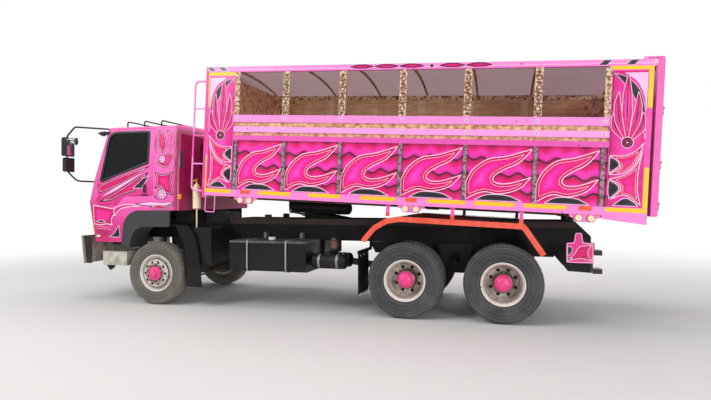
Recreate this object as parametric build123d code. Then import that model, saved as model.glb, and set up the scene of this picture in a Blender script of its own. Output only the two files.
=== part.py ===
from build123d import *
import math
import os

# Decorated three-axle tipper truck with a high-sided body, right-hand drive.
# Millimetres. +X runs rearward, +Y to the truck's right side, +Z up.
# Stations in X are counted from the front axle until the last step, which
# moves the finished pieces so that the origin is under the middle of the truck.

os.makedirs("parts", exist_ok=True)

# Fits and sheet thicknesses
seat_gap = 0.3
run_gap = 6.0
running_fit = 0.05
plate = 8.0

# Axles and tyres
mid_axle_x = 4051.0
tandem_gap = 1346.0
front_tyre_r = 504.0
front_tyre_w = 275.0
front_tyre_y = 1062.0
rear_tyre_r = 538.0
rear_tyre_w = 268.0
twin_outer_y = 1076.0
twin_spacing = 320.0
bead_r = 286.0
rim_flange_r = 298.0
rim_barrel_r = 268.0
rim_wall = 10.0
rim_inset = 24.0
front_drum_r = 200.0
rear_drum_r = 210.0
spindle_r = 38.0
kingpin_y = 925.0
kingpin_r = 22.0
steering_arm = 260.0
steering_arm_z = 400.0
arm_inset = 40.0
rear_axle_x = mid_axle_x + tandem_gap
bogie_x = mid_axle_x + tandem_gap / 2

# Springs
front_spring_z = 520.0
rear_spring_z = 766.0
spring_seat_z = front_spring_z - 8 * 11 - seat_gap

# Ladder frame
rail_outer_y = 430.0
rail_flange = 85.0
rail_bottom = 1030.0
rail_top = 1280.0
rail_front_x = -1210.0
rail_rear_x = 6594.0
sub_height = 93.0
sub_front_x = 930.0
tow_pin_r = 25.0
tow_jaw = 342.0
cab_pivot_x = -1160.0
cab_pivot_z = 1060.0
cab_pivot_r = 20.0
engine_half = 300.0

# Cab
cab_waist_x = -1346.0
cab_waist_z = 1648.0
cab_foot_x = -1240.0
cab_foot_z = 1059.0
cab_top_x = -1040.0
cab_top_z = 2801.0
cab_rear_x = 446.0
cab_half = 1220.0
cab_half_top = 1150.0
cab_shoulder_z = 2050.0
cab_roof_z = 2975.0
cab_wall = 45.0
cab_corner_r = 200.0
channel_half = 520.0
door_gap = 5.0
glass = 6.0
glass_set = 12.0
windscreen_half = 1000.0
door_hinge_x = -1087.0
door_hinge_y = 1230.0
door_hinge_zs = (1690.0, 1930.0)
door_hinge_r = 9.0
door_pin_r = 5.0
wheel_x = -690.0
wheel_y = 560.0
wheel_z = 1985.0
wheel_rake = 30.0

# Body (tipping bed), in its own level frame: x from its rear edge, z from the
# underside of its bottom rail
bed_length = 6294.0
bed_half = 1240.0
bed_top = 1942.0
bed_tilt = 2.73
bed_rear_x = 7152.1
bed_rear_z = 1506.3
rail_deep = 36.0
skirt_low = -47.0
floor_top = 63.0
beam_low = -95.0
corner_front_u = 5790.0
corner_rear_u = 495.0
corner_edge_u = 14.0
bearer_u0 = 120.0
bearer_pitch = 455.0
bearer_wide = 60.0
bearer_low = -55.0
ladder_out = 193.0
ladder_top = 1722.0
ladder_low = 20.0
lamp_us = (5553.0, 3002.0, 736.0)
lamp_v = -95.0
lamp_r = 42.0
tail_front_u = 540.0
guard_lip = 75.0
post_us = (5748.0, 4952.0, 4075.0, 3188.0, 2290.0, 1376.0, 554.0)

# Hoist
tip_x = 6330.0
tip_z = 1420.0
tip_pin_r = 25.0
tip_range = 42.27
hoist_foot_x = 3300.0
hoist_foot_z = 1250.0
hoist_eye_x = 1900.0
hoist_eye_z = 1500.0
barrel_r = 75.0
stage_r = 60.0
ram_r = 46.0

# Tailgate
gate_hinge_u = 109.0
gate_hinge_v = 1963.0
gate_pin_r = 8.0
gate_tube = 80.0


def block(x0, x1, y0, y1, z0, z1):
    """A box given by its two faces along each axis."""
    return Pos((x0 + x1) / 2, (y0 + y1) / 2, (z0 + z1) / 2) * Box(abs(x1 - x0), abs(y1 - y0), abs(z1 - z0))


def outline(points):
    """A closed face from (across, up, corner radius) rows."""
    corners = [(row[0], row[1]) for row in points]
    radii = [row[2] for row in points]
    return make_face(FilletPolyline(*corners, radius=radii, close=True))


def side_slab(points, y0, y1):
    """A side outline (x, z, radius) made solid from y0 to y1."""
    return Pos(0, max(y0, y1), 0) * extrude(Plane.XZ * outline(points), amount=abs(y1 - y0))


def front_slab(points, x0, x1):
    """A front outline (y, z, radius) made solid from x0 to x1."""
    return Pos(min(x0, x1), 0, 0) * extrude(Plane.YZ * outline(points), amount=abs(x1 - x0))


def plan_slab(points, z0, z1):
    """A plan outline (x, y, radius) made solid from z0 to z1."""
    return Pos(0, 0, min(z0, z1)) * extrude(outline(points), amount=abs(z1 - z0))


def bar(start, end, radius):
    """A round bar between two points."""
    line = Edge.make_line(start, end)
    plane = Plane(origin=start, z_dir=line % 0)
    return extrude(plane * Circle(radius), amount=line.length)


def across(x, z, radius, y0, y1):
    """A round bar along Y."""
    return bar((x, min(y0, y1), z), (x, max(y0, y1), z), radius)


def upright(x, y, radius, z0, z1):
    return bar((x, y, z0), (x, y, z1), radius)


def turned(points, x, z, side=1, y=0.0):
    """A (y, r, radius) outline revolved about the Y axis, set at a wheel centre."""
    ring = revolve(Plane.YZ * outline(points), axis=Axis.Y)
    if side < 0:
        ring = mirror(ring, about=Plane.XZ)
    return Pos(x, side * y, z) * ring


def bent_tube(points, radii, radius):
    """A round tube's solid along straight runs joined by arcs."""
    path = FilletPolyline(*points, radius=radii)
    start = Plane(origin=path @ 0, z_dir=path % 0)
    return sweep(start * Circle(radius), path=path)


def flip(shape):
    return mirror(shape, about=Plane.XZ)


def fuse(pieces):
    return pieces[0] + pieces[1:]


def bent_strip(points, thick, radius):
    """Outline rows of a sheet seen on edge: the line given, left to right, and one a thickness under it."""
    upper = []
    lower = []
    last = len(points) - 1
    for n, (x, z) in enumerate(points):
        normals = []
        for a, b in ((max(n - 1, 0), max(n, 1)), (min(n, last - 1), min(n + 1, last))):
            dx = points[b][0] - points[a][0]
            dz = points[b][1] - points[a][1]
            normals.append((dz / math.hypot(dx, dz), -dx / math.hypot(dx, dz)))
        (ax, az), (bx, bz) = normals
        mitre = thick / (1 + ax * bx + az * bz)
        rounding = 0 if n in (0, last) else radius
        upper.append((x, z, rounding and rounding + thick))
        lower.append((x + (ax + bx) * mitre, z + (az + bz) * mitre, rounding))
    return upper + lower[::-1]


nodes = {}


def keep(name, *shapes):
    """Stores one node's solids."""
    solids = []
    for shape in shapes:
        solids.extend(shape.solids())
    nodes[name] = solids


# Wheels and tyres


def tyre(radius, width):
    half = width / 2
    bead = half - rim_inset - 12 - seat_gap
    return (
        (-bead, bead_r, 0),
        (-bead, rim_flange_r + seat_gap, 0),
        (-half, radius - 120, 90),
        (-half + 14, radius - 18, 20),
        (0, radius, 0),
        (half - 14, radius - 18, 20),
        (half, radius - 120, 90),
        (bead, rim_flange_r + seat_gap, 0),
        (bead, bead_r, 0),
    )


def rim_shell(width, disc_in, disc_out, face_r):
    """Section of a rim with its disc; the disc stands between disc_in and disc_out."""
    half = width / 2 - rim_inset
    inner = rim_barrel_r - rim_wall
    return (
        (-half, rim_flange_r, 0),
        (-half + 12, rim_flange_r, 0),
        (-half + 12, bead_r - 1, 0),
        (-half + 45, rim_barrel_r, 0),
        (half - 45, rim_barrel_r, 0),
        (half - 12, bead_r - 1, 0),
        (half - 12, rim_flange_r, 0),
        (half, rim_flange_r, 0),
        (half, rim_flange_r - 12, 0),
        (half - 38, inner, 0),
        (min(disc_out, half - 45), inner, 0),
        (disc_out, face_r, 0),
        (disc_out, 100, 0),
        (disc_in, 100, 0),
        (disc_in, face_r, 0),
        (min(disc_out, half - 45) - 2 * rim_wall, inner, 0),
        (-half + 38, inner, 0),
        (-half, rim_flange_r - 12, 0),
    )


def hand_holes(count, pitch_r, hole_r, y0, y1):
    holes = []
    for n in range(count):
        angle = 2 * math.pi * (n + 0.5) / count
        x = pitch_r * math.sin(angle)
        z = pitch_r * math.cos(angle)
        holes.append(bar((x, y0, z), (x, y1, z), hole_r))
    return holes


front_disc_out = 132.0
front_hub_out = 182.0
rear_disc_out = twin_spacing / 2
hub_r = 112.0

# The front hub turns on the knuckle's spindle, whose tip ends inside the hub.
front_hub = (
    (-62, front_drum_r, 0),
    (60, front_drum_r, 0),
    (60, 120, 0),
    (front_disc_out - rim_wall, hub_r, 0),
    (front_disc_out + 20, hub_r, 0),
    (front_disc_out + 26, 70, 0),
    (front_hub_out - 8, 66, 0),
    (front_hub_out, 58, 0),
    (front_hub_out, 0, 0),
    (front_hub_out - 30, 0, 0),
    (front_hub_out - 30, spindle_r + running_fit, 0),
    (-40, spindle_r + running_fit, 0),
    (-40, front_drum_r - 14, 0),
    (-62, front_drum_r - 14, 0),
)


def front_wheel(side):
    rim = fuse(
        [
            turned(rim_shell(front_tyre_w, front_disc_out - rim_wall, front_disc_out, 205), 0, 0),
            turned(front_hub, 0, 0),
        ]
    )
    for hole in hand_holes(10, 178, 22, front_disc_out - 60, front_disc_out + 30):
        rim = rim - hole
    if side < 0:
        rim = flip(rim)
    return Pos(0, side * front_tyre_y, front_tyre_r) * rim


# The rear hub carries both rims, which meet disc to disc between the tyres.
rear_hub_in = twin_outer_y - twin_spacing - 130
rear_hub_out = twin_outer_y + 40
rear_hub = (
    (rear_hub_in, rear_drum_r, 0),
    (twin_outer_y - twin_spacing / 2 - 40, rear_drum_r, 0),
    (twin_outer_y - twin_spacing / 2 - 40, 130, 0),
    (rear_hub_out - 70, 130, 0),
    (rear_hub_out - 60, 112, 0),
    (rear_hub_out - 8, 108, 0),
    (rear_hub_out, 96, 0),
    (rear_hub_out, 0, 0),
    (rear_hub_out - 60, 0, 0),
    (rear_hub_out - 60, spindle_r + running_fit, 0),
    (rear_hub_in + 30, spindle_r + running_fit, 0),
    (rear_hub_in + 30, rear_drum_r - 14, 0),
    (rear_hub_in, rear_drum_r - 14, 0),
)


def twin_rims(x, side):
    section = rim_shell(rear_tyre_w, rear_disc_out - rim_wall, rear_disc_out, 215)
    outer = Pos(0, twin_outer_y, 0) * flip(turned(section, 0, 0))
    inner = Pos(0, twin_outer_y - twin_spacing, 0) * turned(section, 0, 0)
    whole = fuse([outer, inner, turned(rear_hub, 0, 0)])
    mid = twin_outer_y - twin_spacing / 2
    for hole in hand_holes(8, 180, 26, mid - 45, mid + 45):
        whole = whole - hole
    if side < 0:
        whole = flip(whole)
    return Pos(x, 0, rear_tyre_r) * whole


def make_wheels():
    for side, word in ((-1, "left"), (1, "right")):
        ring = tyre(front_tyre_r, front_tyre_w)
        keep("front_tyre_" + word, turned(ring, 0, front_tyre_r, side, front_tyre_y))
        keep("front_rim_" + word, front_wheel(side))
        for x, place in ((mid_axle_x, "mid"), (rear_axle_x, "rear")):
            ring = tyre(rear_tyre_r, rear_tyre_w)
            keep(
                place + "_tyres_" + word,
                turned(ring, x, rear_tyre_r, side, twin_outer_y),
                turned(ring, x, rear_tyre_r, side, twin_outer_y - twin_spacing),
            )
            keep(place + "_rims_" + word, twin_rims(x, side))


# Steering: knuckles on kingpins, arms pointing rearward, one tie rod


def knuckle(side):
    z = front_tyre_r
    hub_y = kingpin_y + 30
    tip_y = front_tyre_y + front_hub_out - 35
    body = fuse(
        [
            block(-45, 45, kingpin_y - 45, hub_y, z + 72, z + 112),
            block(-45, 45, kingpin_y - 45, hub_y, z - 112, z - 72),
            block(-60, 60, kingpin_y + 55, hub_y + 34, z - 112, z + 112),
            block(-45, 45, hub_y, kingpin_y + 56, z + 72, z + 112),
            block(-45, 45, hub_y, kingpin_y + 56, z - 112, z - 72),
            upright(0, kingpin_y, kingpin_r, z - 112, z + 112),
            across(0, z, spindle_r, hub_y + 30, tip_y),
            side_slab(
                (
                    (-40, z - 112, 0),
                    (40, z - 112, 0),
                    (steering_arm, steering_arm_z - 12, 0),
                    (steering_arm, steering_arm_z + 12, 0),
                    (-40, z - 80, 0),
                ),
                kingpin_y - arm_inset - 20,
                kingpin_y - arm_inset + 20,
            ),
            upright(steering_arm, kingpin_y - arm_inset, 30, steering_arm_z - 12, steering_arm_z + 12),
        ]
    )
    return body if side > 0 else flip(body)


def make_steering():
    pin_y = kingpin_y - arm_inset
    pin_low = steering_arm_z - 48
    left = knuckle(-1) + upright(steering_arm, -pin_y, 12, pin_low, steering_arm_z)
    keep("knuckle_left", left)
    keep("knuckle_right", knuckle(1))
    rod_z = steering_arm_z - 34
    rod = bar((steering_arm, -pin_y, rod_z), (steering_arm, pin_y, rod_z), 17)
    eyes = [upright(steering_arm, side * pin_y, 27, rod_z - 15, rod_z + 15) for side in (-1, 1)]
    rod = fuse([rod] + eyes) - upright(steering_arm, -pin_y, 12 + running_fit, pin_low - 20, steering_arm_z)
    keep("tie_rod", rod)


# Chassis


def make_frame():
    rails = []
    for side in (-1, 1):
        inner_y = side * (rail_outer_y - rail_flange)
        outer = block(rail_front_x, rail_rear_x, inner_y, side * rail_outer_y, rail_bottom, rail_top)
        hollow = block(
            rail_front_x - 1,
            rail_rear_x + 1,
            side * (rail_outer_y - rail_flange - 1),
            side * (rail_outer_y - plate),
            rail_bottom + plate,
            rail_top - plate,
        )
        rails.append(outer - hollow)
    inner = rail_outer_y - plate
    beams = []
    for x in (-1130, 1200, 2500, 3560, bogie_x, 5950, 6500):
        beams.append(block(x - 50, x + 50, -inner, inner, rail_bottom + plate, rail_bottom + 190))
    whole = fuse(rails + beams)
    slope_x = tip_x + 64
    cut = side_slab(
        (
            (slope_x, rail_top + sub_height, 0),
            (slope_x + 500, rail_top + sub_height - 500, 0),
            (slope_x + 500, rail_top + sub_height, 0),
        ),
        -600,
        600,
    )
    whole = whole - cut
    for side in (-1, 1):
        saddle = side_slab(
            (
                (bogie_x - 260, rail_bottom + 60, 0),
                (bogie_x - 90, 600, 0),
                (bogie_x + 90, 600, 0),
                (bogie_x + 260, rail_bottom + 60, 0),
            ),
            side * rail_outer_y,
            side * (rail_outer_y + 14),
        )
        near, far = side * (rail_outer_y + 14), side * (rail_outer_y + 110)
        seat = block(bogie_x - 90, bogie_x + 90, near, far, 600, rear_spring_z - 1.6)
        near, far = side * (rail_outer_y - plate), side * (rail_outer_y + 46)
        pin = across(cab_pivot_x, cab_pivot_z, cab_pivot_r, near, far)
        whole = fuse([whole, saddle, seat, pin])
        for x in (-750, 750):
            hanger = side_slab(
                (
                    (x - 50, rail_bottom + 80, 0),
                    (x - 30, front_spring_z + 110 + seat_gap, 0),
                    (x + 30, front_spring_z + 110 + seat_gap, 0),
                    (x + 50, rail_bottom + 80, 0),
                ),
                side * rail_outer_y,
                side * (rail_outer_y + 70),
            )
            whole = whole + hanger
        for x in (60, 600):
            near, far = side * (engine_half + seat_gap), side * (rail_outer_y - plate + 1)
            whole = whole + block(x - 50, x + 50, near, far, 1060, 1140)
    rests = [block(300, 420, side * 350, side * rail_outer_y, rail_top - 1, 1500) for side in (-1, 1)]
    whole = fuse([whole] + rests + [block(340, 400, -rail_outer_y, rail_outer_y, 1485, 1515)])
    keep("ladder_frame", whole)

    subs = []
    for side in (-1, 1):
        near, far = side * (rail_outer_y - 75), side * rail_outer_y
        subs.append(block(sub_front_x, rail_rear_x, near, far, rail_top, rail_top + sub_height))
    for x in (1000, 3500, 5200, tip_x):
        half = rail_outer_y - 70
        subs.append(block(x - 60, x + 60, -half, half, rail_top + 10, rail_top + sub_height))
    sub = fuse(subs) - cut
    for side in (-1, 1):
        bearing = side_slab(
            (
                (tip_x - 60, rail_top + sub_height - 10, 0),
                (tip_x - 60, tip_z, 40),
                (tip_x - 30, tip_z + 40, 30),
                (tip_x + 30, tip_z + 40, 30),
                (tip_x + 60, tip_z, 40),
                (tip_x + 60, rail_top + sub_height - 10, 0),
            ),
            side * 200,
            side * 290,
        )
        near, far = side * (rail_outer_y - 70), side * (rail_outer_y - 6)
        rest = block(1560, 1660, near, far, rail_top + sub_height, 1438)
        foot = side_slab(
            (
                (hoist_foot_x - 55, rail_top + 20, 0),
                (hoist_foot_x - 45, hoist_foot_z - 45, 0),
                (hoist_foot_x + 45, hoist_foot_z - 45, 0),
                (3560, rail_top + 20, 0),
                (3560, rail_top + 60, 0),
                (hoist_foot_x - 20, rail_top + 60, 0),
            ),
            side * 90,
            side * 130,
        )
        sub = fuse([sub, bearing, rest, foot])
    sub = sub + across(tip_x, tip_z, tip_pin_r, -340, 340)
    sub = sub + across(hoist_foot_x, hoist_foot_z, 30, -130, 130)
    keep("sub_frame", sub)


def leaf_pack(x, z, half, rise, leaves, thick, y0, y1, down=False):
    """A stack of curved leaves, each shorter than the one above it."""
    radius = (half * half + rise * rise) / (2 * rise)
    sign = -1 if down else 1
    stack = []
    for n in range(leaves):
        reach = half * (1 - 0.09 * n)
        near = radius + n * thick
        far = near + thick
        swing = math.asin(reach / near)
        centre = z + sign * radius
        a = (x - near * math.sin(swing), centre - sign * near * math.cos(swing))
        b = (x, centre - sign * near)
        c = (x + near * math.sin(swing), a[1])
        d = (x + far * math.sin(swing), centre - sign * far * math.cos(swing))
        e = (x, centre - sign * far)
        f = (x - far * math.sin(swing), d[1])
        edges = [ThreePointArc(a, b, c), Line(c, d), ThreePointArc(d, e, f), Line(f, a)]
        stack.append(Pos(0, max(y0, y1), 0) * extrude(Plane.XZ * make_face(edges), amount=abs(y1 - y0)))
    return fuse(stack)


def make_axles():
    z = front_tyre_r
    span = kingpin_y - 60
    beam = front_slab(
        (
            (-span, z + 55, 0),
            (-span, z - 55, 0),
            (-span + 190, 340, 60),
            (span - 190, 340, 60),
            (span, z - 55, 0),
            (span, z + 55, 0),
            (span - 150, spring_seat_z, 60),
            (-span + 150, spring_seat_z, 60),
        ),
        -45,
        45,
    )
    fists = []
    for side in (-1, 1):
        fists.append(upright(0, side * kingpin_y, 44, z - 70, z + 70))
        fists.append(block(-40, 40, side * (span - 4), side * (kingpin_y - 20), z - 55, z + 55))
    beam = fuse([beam] + fists)
    for side in (-1, 1):
        beam = beam - upright(0, side * kingpin_y, kingpin_r + running_fit, z - 80, z + 80)
    keep("front_axle_beam", beam)

    springs = []
    for side in (-1, 1):
        near = side * (rail_outer_y + 14 + seat_gap)
        far = side * (rail_outer_y + 106)
        front_near, front_far = side * rail_outer_y, side * (rail_outer_y + 70)
        springs.append(leaf_pack(0, front_spring_z, 750, 110, 8, 11, front_near, front_far))
        springs.append(leaf_pack(bogie_x, rear_spring_z, 660, 70, 8, 14, near, far, down=True))
    keep("leaf_springs", *springs)

    axles = []
    for x in (mid_axle_x, rear_axle_x):
        z = rear_tyre_r
        casing = across(x, z, 72, -rear_hub_in + 12, rear_hub_in - 12)
        section = ((-150, 0, 0), (-150, 110, 0), (-60, 205, 60), (60, 205, 60), (150, 110, 0), (150, 0, 0))
        bulge = turned(section, x, z)
        near, far = rear_hub_in - 20, rear_hub_out - 66
        tips = [across(x, z, spindle_r, side * near, side * far) for side in (-1, 1)]
        nose = bar((x - 330, 0, z + 30), (x, 0, z + 30), 80)
        high = rear_spring_z - 70 - seat_gap
        near, far = rail_outer_y + 16, rail_outer_y + 106
        pads = [block(x - 60, x + 60, side * near, side * far, z, high) for side in (-1, 1)]
        axles.append(fuse([casing, bulge, nose] + tips + pads))
    keep("rear_axles", *axles)


def make_driveline():
    keep("engine_block", block(-220, 720, -engine_half, engine_half, 800, 1470))
    gearbox = block(720 + seat_gap, 1150 - seat_gap, -180, 180, 800, 1200)
    height = rear_tyre_r + 30
    end = mid_axle_x - 330 - seat_gap
    shaft = bar((1140, 0, 900), (end - 70, 0, height), 55)
    yoke = bar((end - 80, 0, height), (end, 0, height), 62)
    start = mid_axle_x + 205 + seat_gap
    link = bar((start, 0, height), (rear_axle_x - 330 - seat_gap, 0, height), 45)
    keep("drive_line", fuse([gearbox, shaft, yoke]), link)


# Tanks, boxes and the rest of what hangs on the chassis

tank_x0 = 1311.0
tank_x1 = 2567.0
tank_y = 1180.0
tank_low = 592.0
tank_high = 1060.0


def make_chassis_gear():
    corners = ((-tank_y, tank_low, 70), (-520, tank_low, 70), (-520, tank_high, 40), (-tank_y, tank_high, 40))
    tank = front_slab(corners, tank_x0, tank_x1)
    straps = []
    for x in (1612, 2247):
        wide = 8
        band = (
            (-tank_y - wide, tank_low - wide, 76),
            (-520 + wide, tank_low - wide, 76),
            (-520 + wide, tank_high + wide, 46),
            (-tank_y - wide, tank_high + wide, 46),
        )
        straps.append(front_slab(band, x - 25, x + 25))
        near = -rail_outer_y - seat_gap
        straps.append(block(x - 30, x + 30, -522, near, rail_bottom - 60, rail_bottom + 120))
    cap = bar((1975, -1060, tank_high - 5), (1975, -1060, tank_high + 55), 55)
    keep("fuel_tank", fuse([tank, cap] + straps))

    bottles = []
    for x0, x1, y, z, r in ((2640, 3120, -1000, 760, 110), (2640, 3120, -700, 760, 110)):
        bottles.append(bar((x0, y, z), (x1, y, z), r))
    hanger = block(2830, 2900, -1050, -rail_outer_y - seat_gap, 860, 900)
    drop = block(2830, 2900, -rail_outer_y - 20, -rail_outer_y - seat_gap, 860, rail_bottom + 100)
    keep("air_tanks", fuse([hanger, drop] + bottles))

    box = block(660, 992, -1170, -520, 678, 1240)
    arm = block(840, 950, -522, -rail_outer_y - seat_gap, 1060, 1200)
    left = box + arm

    right = front_slab(((520, 620, 30), (1160, 620, 30), (1160, 1040, 30), (520, 1040, 30)), 1300, 2300)
    right = right + block(1400, 2200, rail_outer_y + seat_gap, 522, rail_bottom - 60, rail_bottom + 60)
    keep("side_boxes", left, right)

    can = bar((620, 860, 820), (1230, 860, 820), 160)
    can = can + bar((600, 860, 820), (1250, 860, 820), 60)
    can = can + block(880, 960, rail_outer_y + seat_gap, 860, 940, 1060)
    keep("muffler", can)

    bottle = upright(664, -1050, 63, 1545, 1900)
    bottle = bottle + upright(664, -1050, 40, 1899, 1930) + upright(664, -1050, 14, 1929, 1965)
    stand = upright(664, -1050, 12, 1240 + seat_gap, 1546)
    keep("upright_bottle", bottle + stand)


def make_guards():
    guards = []
    for side in (-1, 1):
        skin = side_slab(
            (
                (330, 1288, 0),
                (398, 1288, 0),
                (560, 960, 200),
                (604, 597, 0),
                (604, 314, 0),
                (592, 314, 0),
                (592, 597, 0),
                (548, 955, 200),
                (390, 1276, 0),
                (330, 1276, 0),
            ),
            side * 820,
            side * 1225,
        )
        flange = side_slab(
            (
                (394, 1282, 0),
                (605, 1282, 30),
                (724, 1144, 80),
                (794, 895, 0),
                (864, 335, 20),
                (844, 316, 0),
                (598, 316, 0),
                (598, 597, 0),
                (554, 957, 200),
            ),
            side * 1217,
            side * 1225,
        )
        arm = block(560, 586, side * (rail_outer_y + seat_gap), side * 830, 1040, 1080)
        strut = block(500, 586, side * 810, side * 830, 1040, 1090)
        guards.append(fuse([skin, flange, arm, strut]))
    flaps = []
    for side in (-1, 1):
        flap = block(3380, 3392, side * 620, side * 1215, 295, 905)
        arm = block(3370, 3402, side * (rail_outer_y + seat_gap), side * 1215, 904, 944)
        near, far = side * (rail_outer_y + seat_gap), side * (rail_outer_y + 40)
        drop = block(3370, 3402, near, far, 904, rail_bottom + 80)
        flaps.append(fuse([flap, arm, drop]))
    keep("mudguards", *guards, *flaps)


def make_bumper():
    z0, z1 = 616, 1080
    front = side_slab(
        ((-1470, z1, 0), (-1462, z1, 0), (-1408, z0, 0), (-1416, z0, 0)),
        -1150,
        1150,
    )
    pieces = [front, block(-1463, -1430, -1150, 1150, z1 - 8, z1)]
    for side in (-1, 1):
        pieces.append(
            side_slab(
                ((-1464, z1, 0), (-1400, z1, 0), (-1300, 1040, 0), (-1300, z0, 0), (-1412, z0, 0)),
                side * 1092,
                side * 1100,
            )
        )
        pieces.append(block(-1440, -1220, side * 380, side * 420, 880, 980))
        pieces.append(block(-1230, -1196, side * 350, side * 420, 880, rail_bottom - seat_gap))
    steps = []
    for side in (-1, 1):
        shell = block(-1040, -575, side * 840, side * 1140, 602, 831)
        arm = block(-900, -840, side * (rail_outer_y + seat_gap), side * 842, 760, 820)
        near, far = side * (rail_outer_y + seat_gap), side * (rail_outer_y + 20)
        drop = block(-900, -840, near, far, 760, rail_bottom + 100)
        steps.append(fuse([shell, arm, drop]))
    keep("front_bumper", fuse(pieces), *steps)


def make_tail():
    end = rail_rear_x
    beam = block(end, end + 12, -rail_outer_y, rail_outer_y, 640, 1160)
    eye = fuse(
        [
            block(end + 12, end + 80, -140, 140, 640, 900),
            block(end + 80, end + 213, -110, 110, 590, 660),
            block(end + 80, end + 213, -110, 110, 862, 932),
        ]
    )
    eye = eye - upright(end + 150, 0, tow_pin_r, 500, 1000)
    plates = []
    for side in (-1, 1):
        flag = side_slab(
            (
                (6225, 831, 20),
                (6567, 831, 20),
                (6567, 1100, 20),
                (6440, 1110, 10),
                (6420, 1238, 10),
                (6340, 1238, 10),
                (6320, 1110, 10),
                (6225, 1100, 20),
            ),
            side * 900,
            side * 912,
        )
        arm = block(6380, 6440, side * (rail_outer_y + seat_gap), side * 901, 1040, 1090)
        plates.append(flag + arm)
    keep("tow_coupling", beam + eye, *plates)
    lamps = []
    for side in (-1, 1):
        shell = front_slab(
            (
                (side * 170, 965, 15),
                (side * 410, 965, 15),
                (side * 410, 1060, 15),
                (side * 170, 1060, 15),
            ),
            end + 12 + seat_gap,
            end + 62,
        )
        for y in (250, 330):
            shell = shell - block(end + 56, end + 63, side * (y - 3), side * (y + 3), 960, 1065)
        lamps.append(shell)
    keep("tail_lamps", *lamps)


# Cab


def cab_section(z, x_front, half, inset):
    """A plan section of the cab, rounded at its four corners."""
    front = x_front + inset
    rear = cab_rear_x - inset
    wide = half - inset
    r1 = cab_corner_r - inset
    r2 = 70 - inset
    points = ((front, -wide, r1), (rear, -wide, r2), (rear, wide, r2), (front, wide, r1))
    return Pos(0, 0, z) * outline(points)


cab_slope = (cab_top_x - cab_waist_x) / (cab_top_z - cab_waist_z)


def cab_form(inset):
    """The cab's outer form moved inward by inset."""
    top_z = 3040.0
    low_z = 980.0
    lean = (cab_waist_x - cab_foot_x) / (cab_waist_z - cab_foot_z)
    rows = (
        # height, front station, half width
        (low_z, cab_foot_x + lean * (low_z - cab_foot_z), cab_half),
        (cab_waist_z, cab_waist_x, cab_half),
        (cab_shoulder_z, cab_waist_x + cab_slope * (cab_shoulder_z - cab_waist_z), cab_half),
        (top_z, cab_waist_x + cab_slope * (top_z - cab_waist_z), cab_half_top - 20),
    )
    shell = loft([cab_section(z, x, half, inset) for z, x, half in rows], ruled=True)
    side = Plane.XZ * outline(
        (
            (-1500, cab_foot_z - 66, 0),
            (-603, cab_foot_z - 66, 0),
            (-548, 1508, 300),
            (600, 1518, 0),
            (600, 2560, 0),
            (cab_rear_x - 146, 2915, 150),
            (120, cab_roof_z, 200),
            (-700, 2945, 200),
            (-960, 2870, 60),
            (-1500, 2600, 0),
        )
    )
    roof = Plane.YZ * outline(
        (
            (1400, 800, 0),
            (1400, 2760, 0),
            (1060, 2890, 120),
            (560, 2962, 500),
            (0, cab_roof_z, 0),
            (-560, 2962, 500),
            (-1060, 2890, 120),
            (-1400, 2760, 0),
            (-1400, 800, 0),
        )
    )
    if inset:
        side = offset(side, amount=-inset)
        roof = offset(roof, amount=-inset)
    side = Pos(0, 1500, 0) * extrude(side, amount=3000)
    roof = Pos(-1600, 0, 0) * extrude(roof, amount=2400)
    return shell & side & roof


door_rows = (
    # x, z, corner radius
    (-1068, 1606, 30),
    (-716, 1596, 90),
    (-560, 1748, 90),
    (-31, 1748, 30),
    (-31, 2842, 40),
    (-845, 2842, 190),
    (-990, 2500, 300),
    (-1082, 1990, 100),
)
window_rows = (
    (-1019, 1981, 30),
    (-133, 2286, 25),
    (-133, 2785, 25),
    (-893, 2792, 190),
)


def grown(rows, amount):
    """A side outline moved outward by amount, solid on one side of the cab."""
    face = Plane.XZ * outline(rows)
    if amount:
        face = offset(face, amount=amount)
    return face


def side_cutter(rows, amount, side):
    cut = Pos(0, 1500, 0) * extrude(grown(rows, amount), amount=900)
    return cut if side > 0 else flip(cut)


def windscreen_cutter(amount):
    half = windscreen_half + amount
    low, high = 1930 - amount, 2770 + amount
    face = outline(((-half, low, 90), (half, low, 90), (half, high, 90), (-half, high, 90)))
    return Pos(-1600, 0, 0) * extrude(Plane.YZ * face, amount=900)


def rear_window_cutter(amount):
    half = 560 + amount
    low, high = 2180 - amount, 2640 + amount
    face = outline(((-half, low, 60), (half, low, 60), (half, high, 60), (-half, high, 60)))
    return Pos(100, 0, 0) * extrude(Plane.YZ * face, amount=700)


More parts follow.
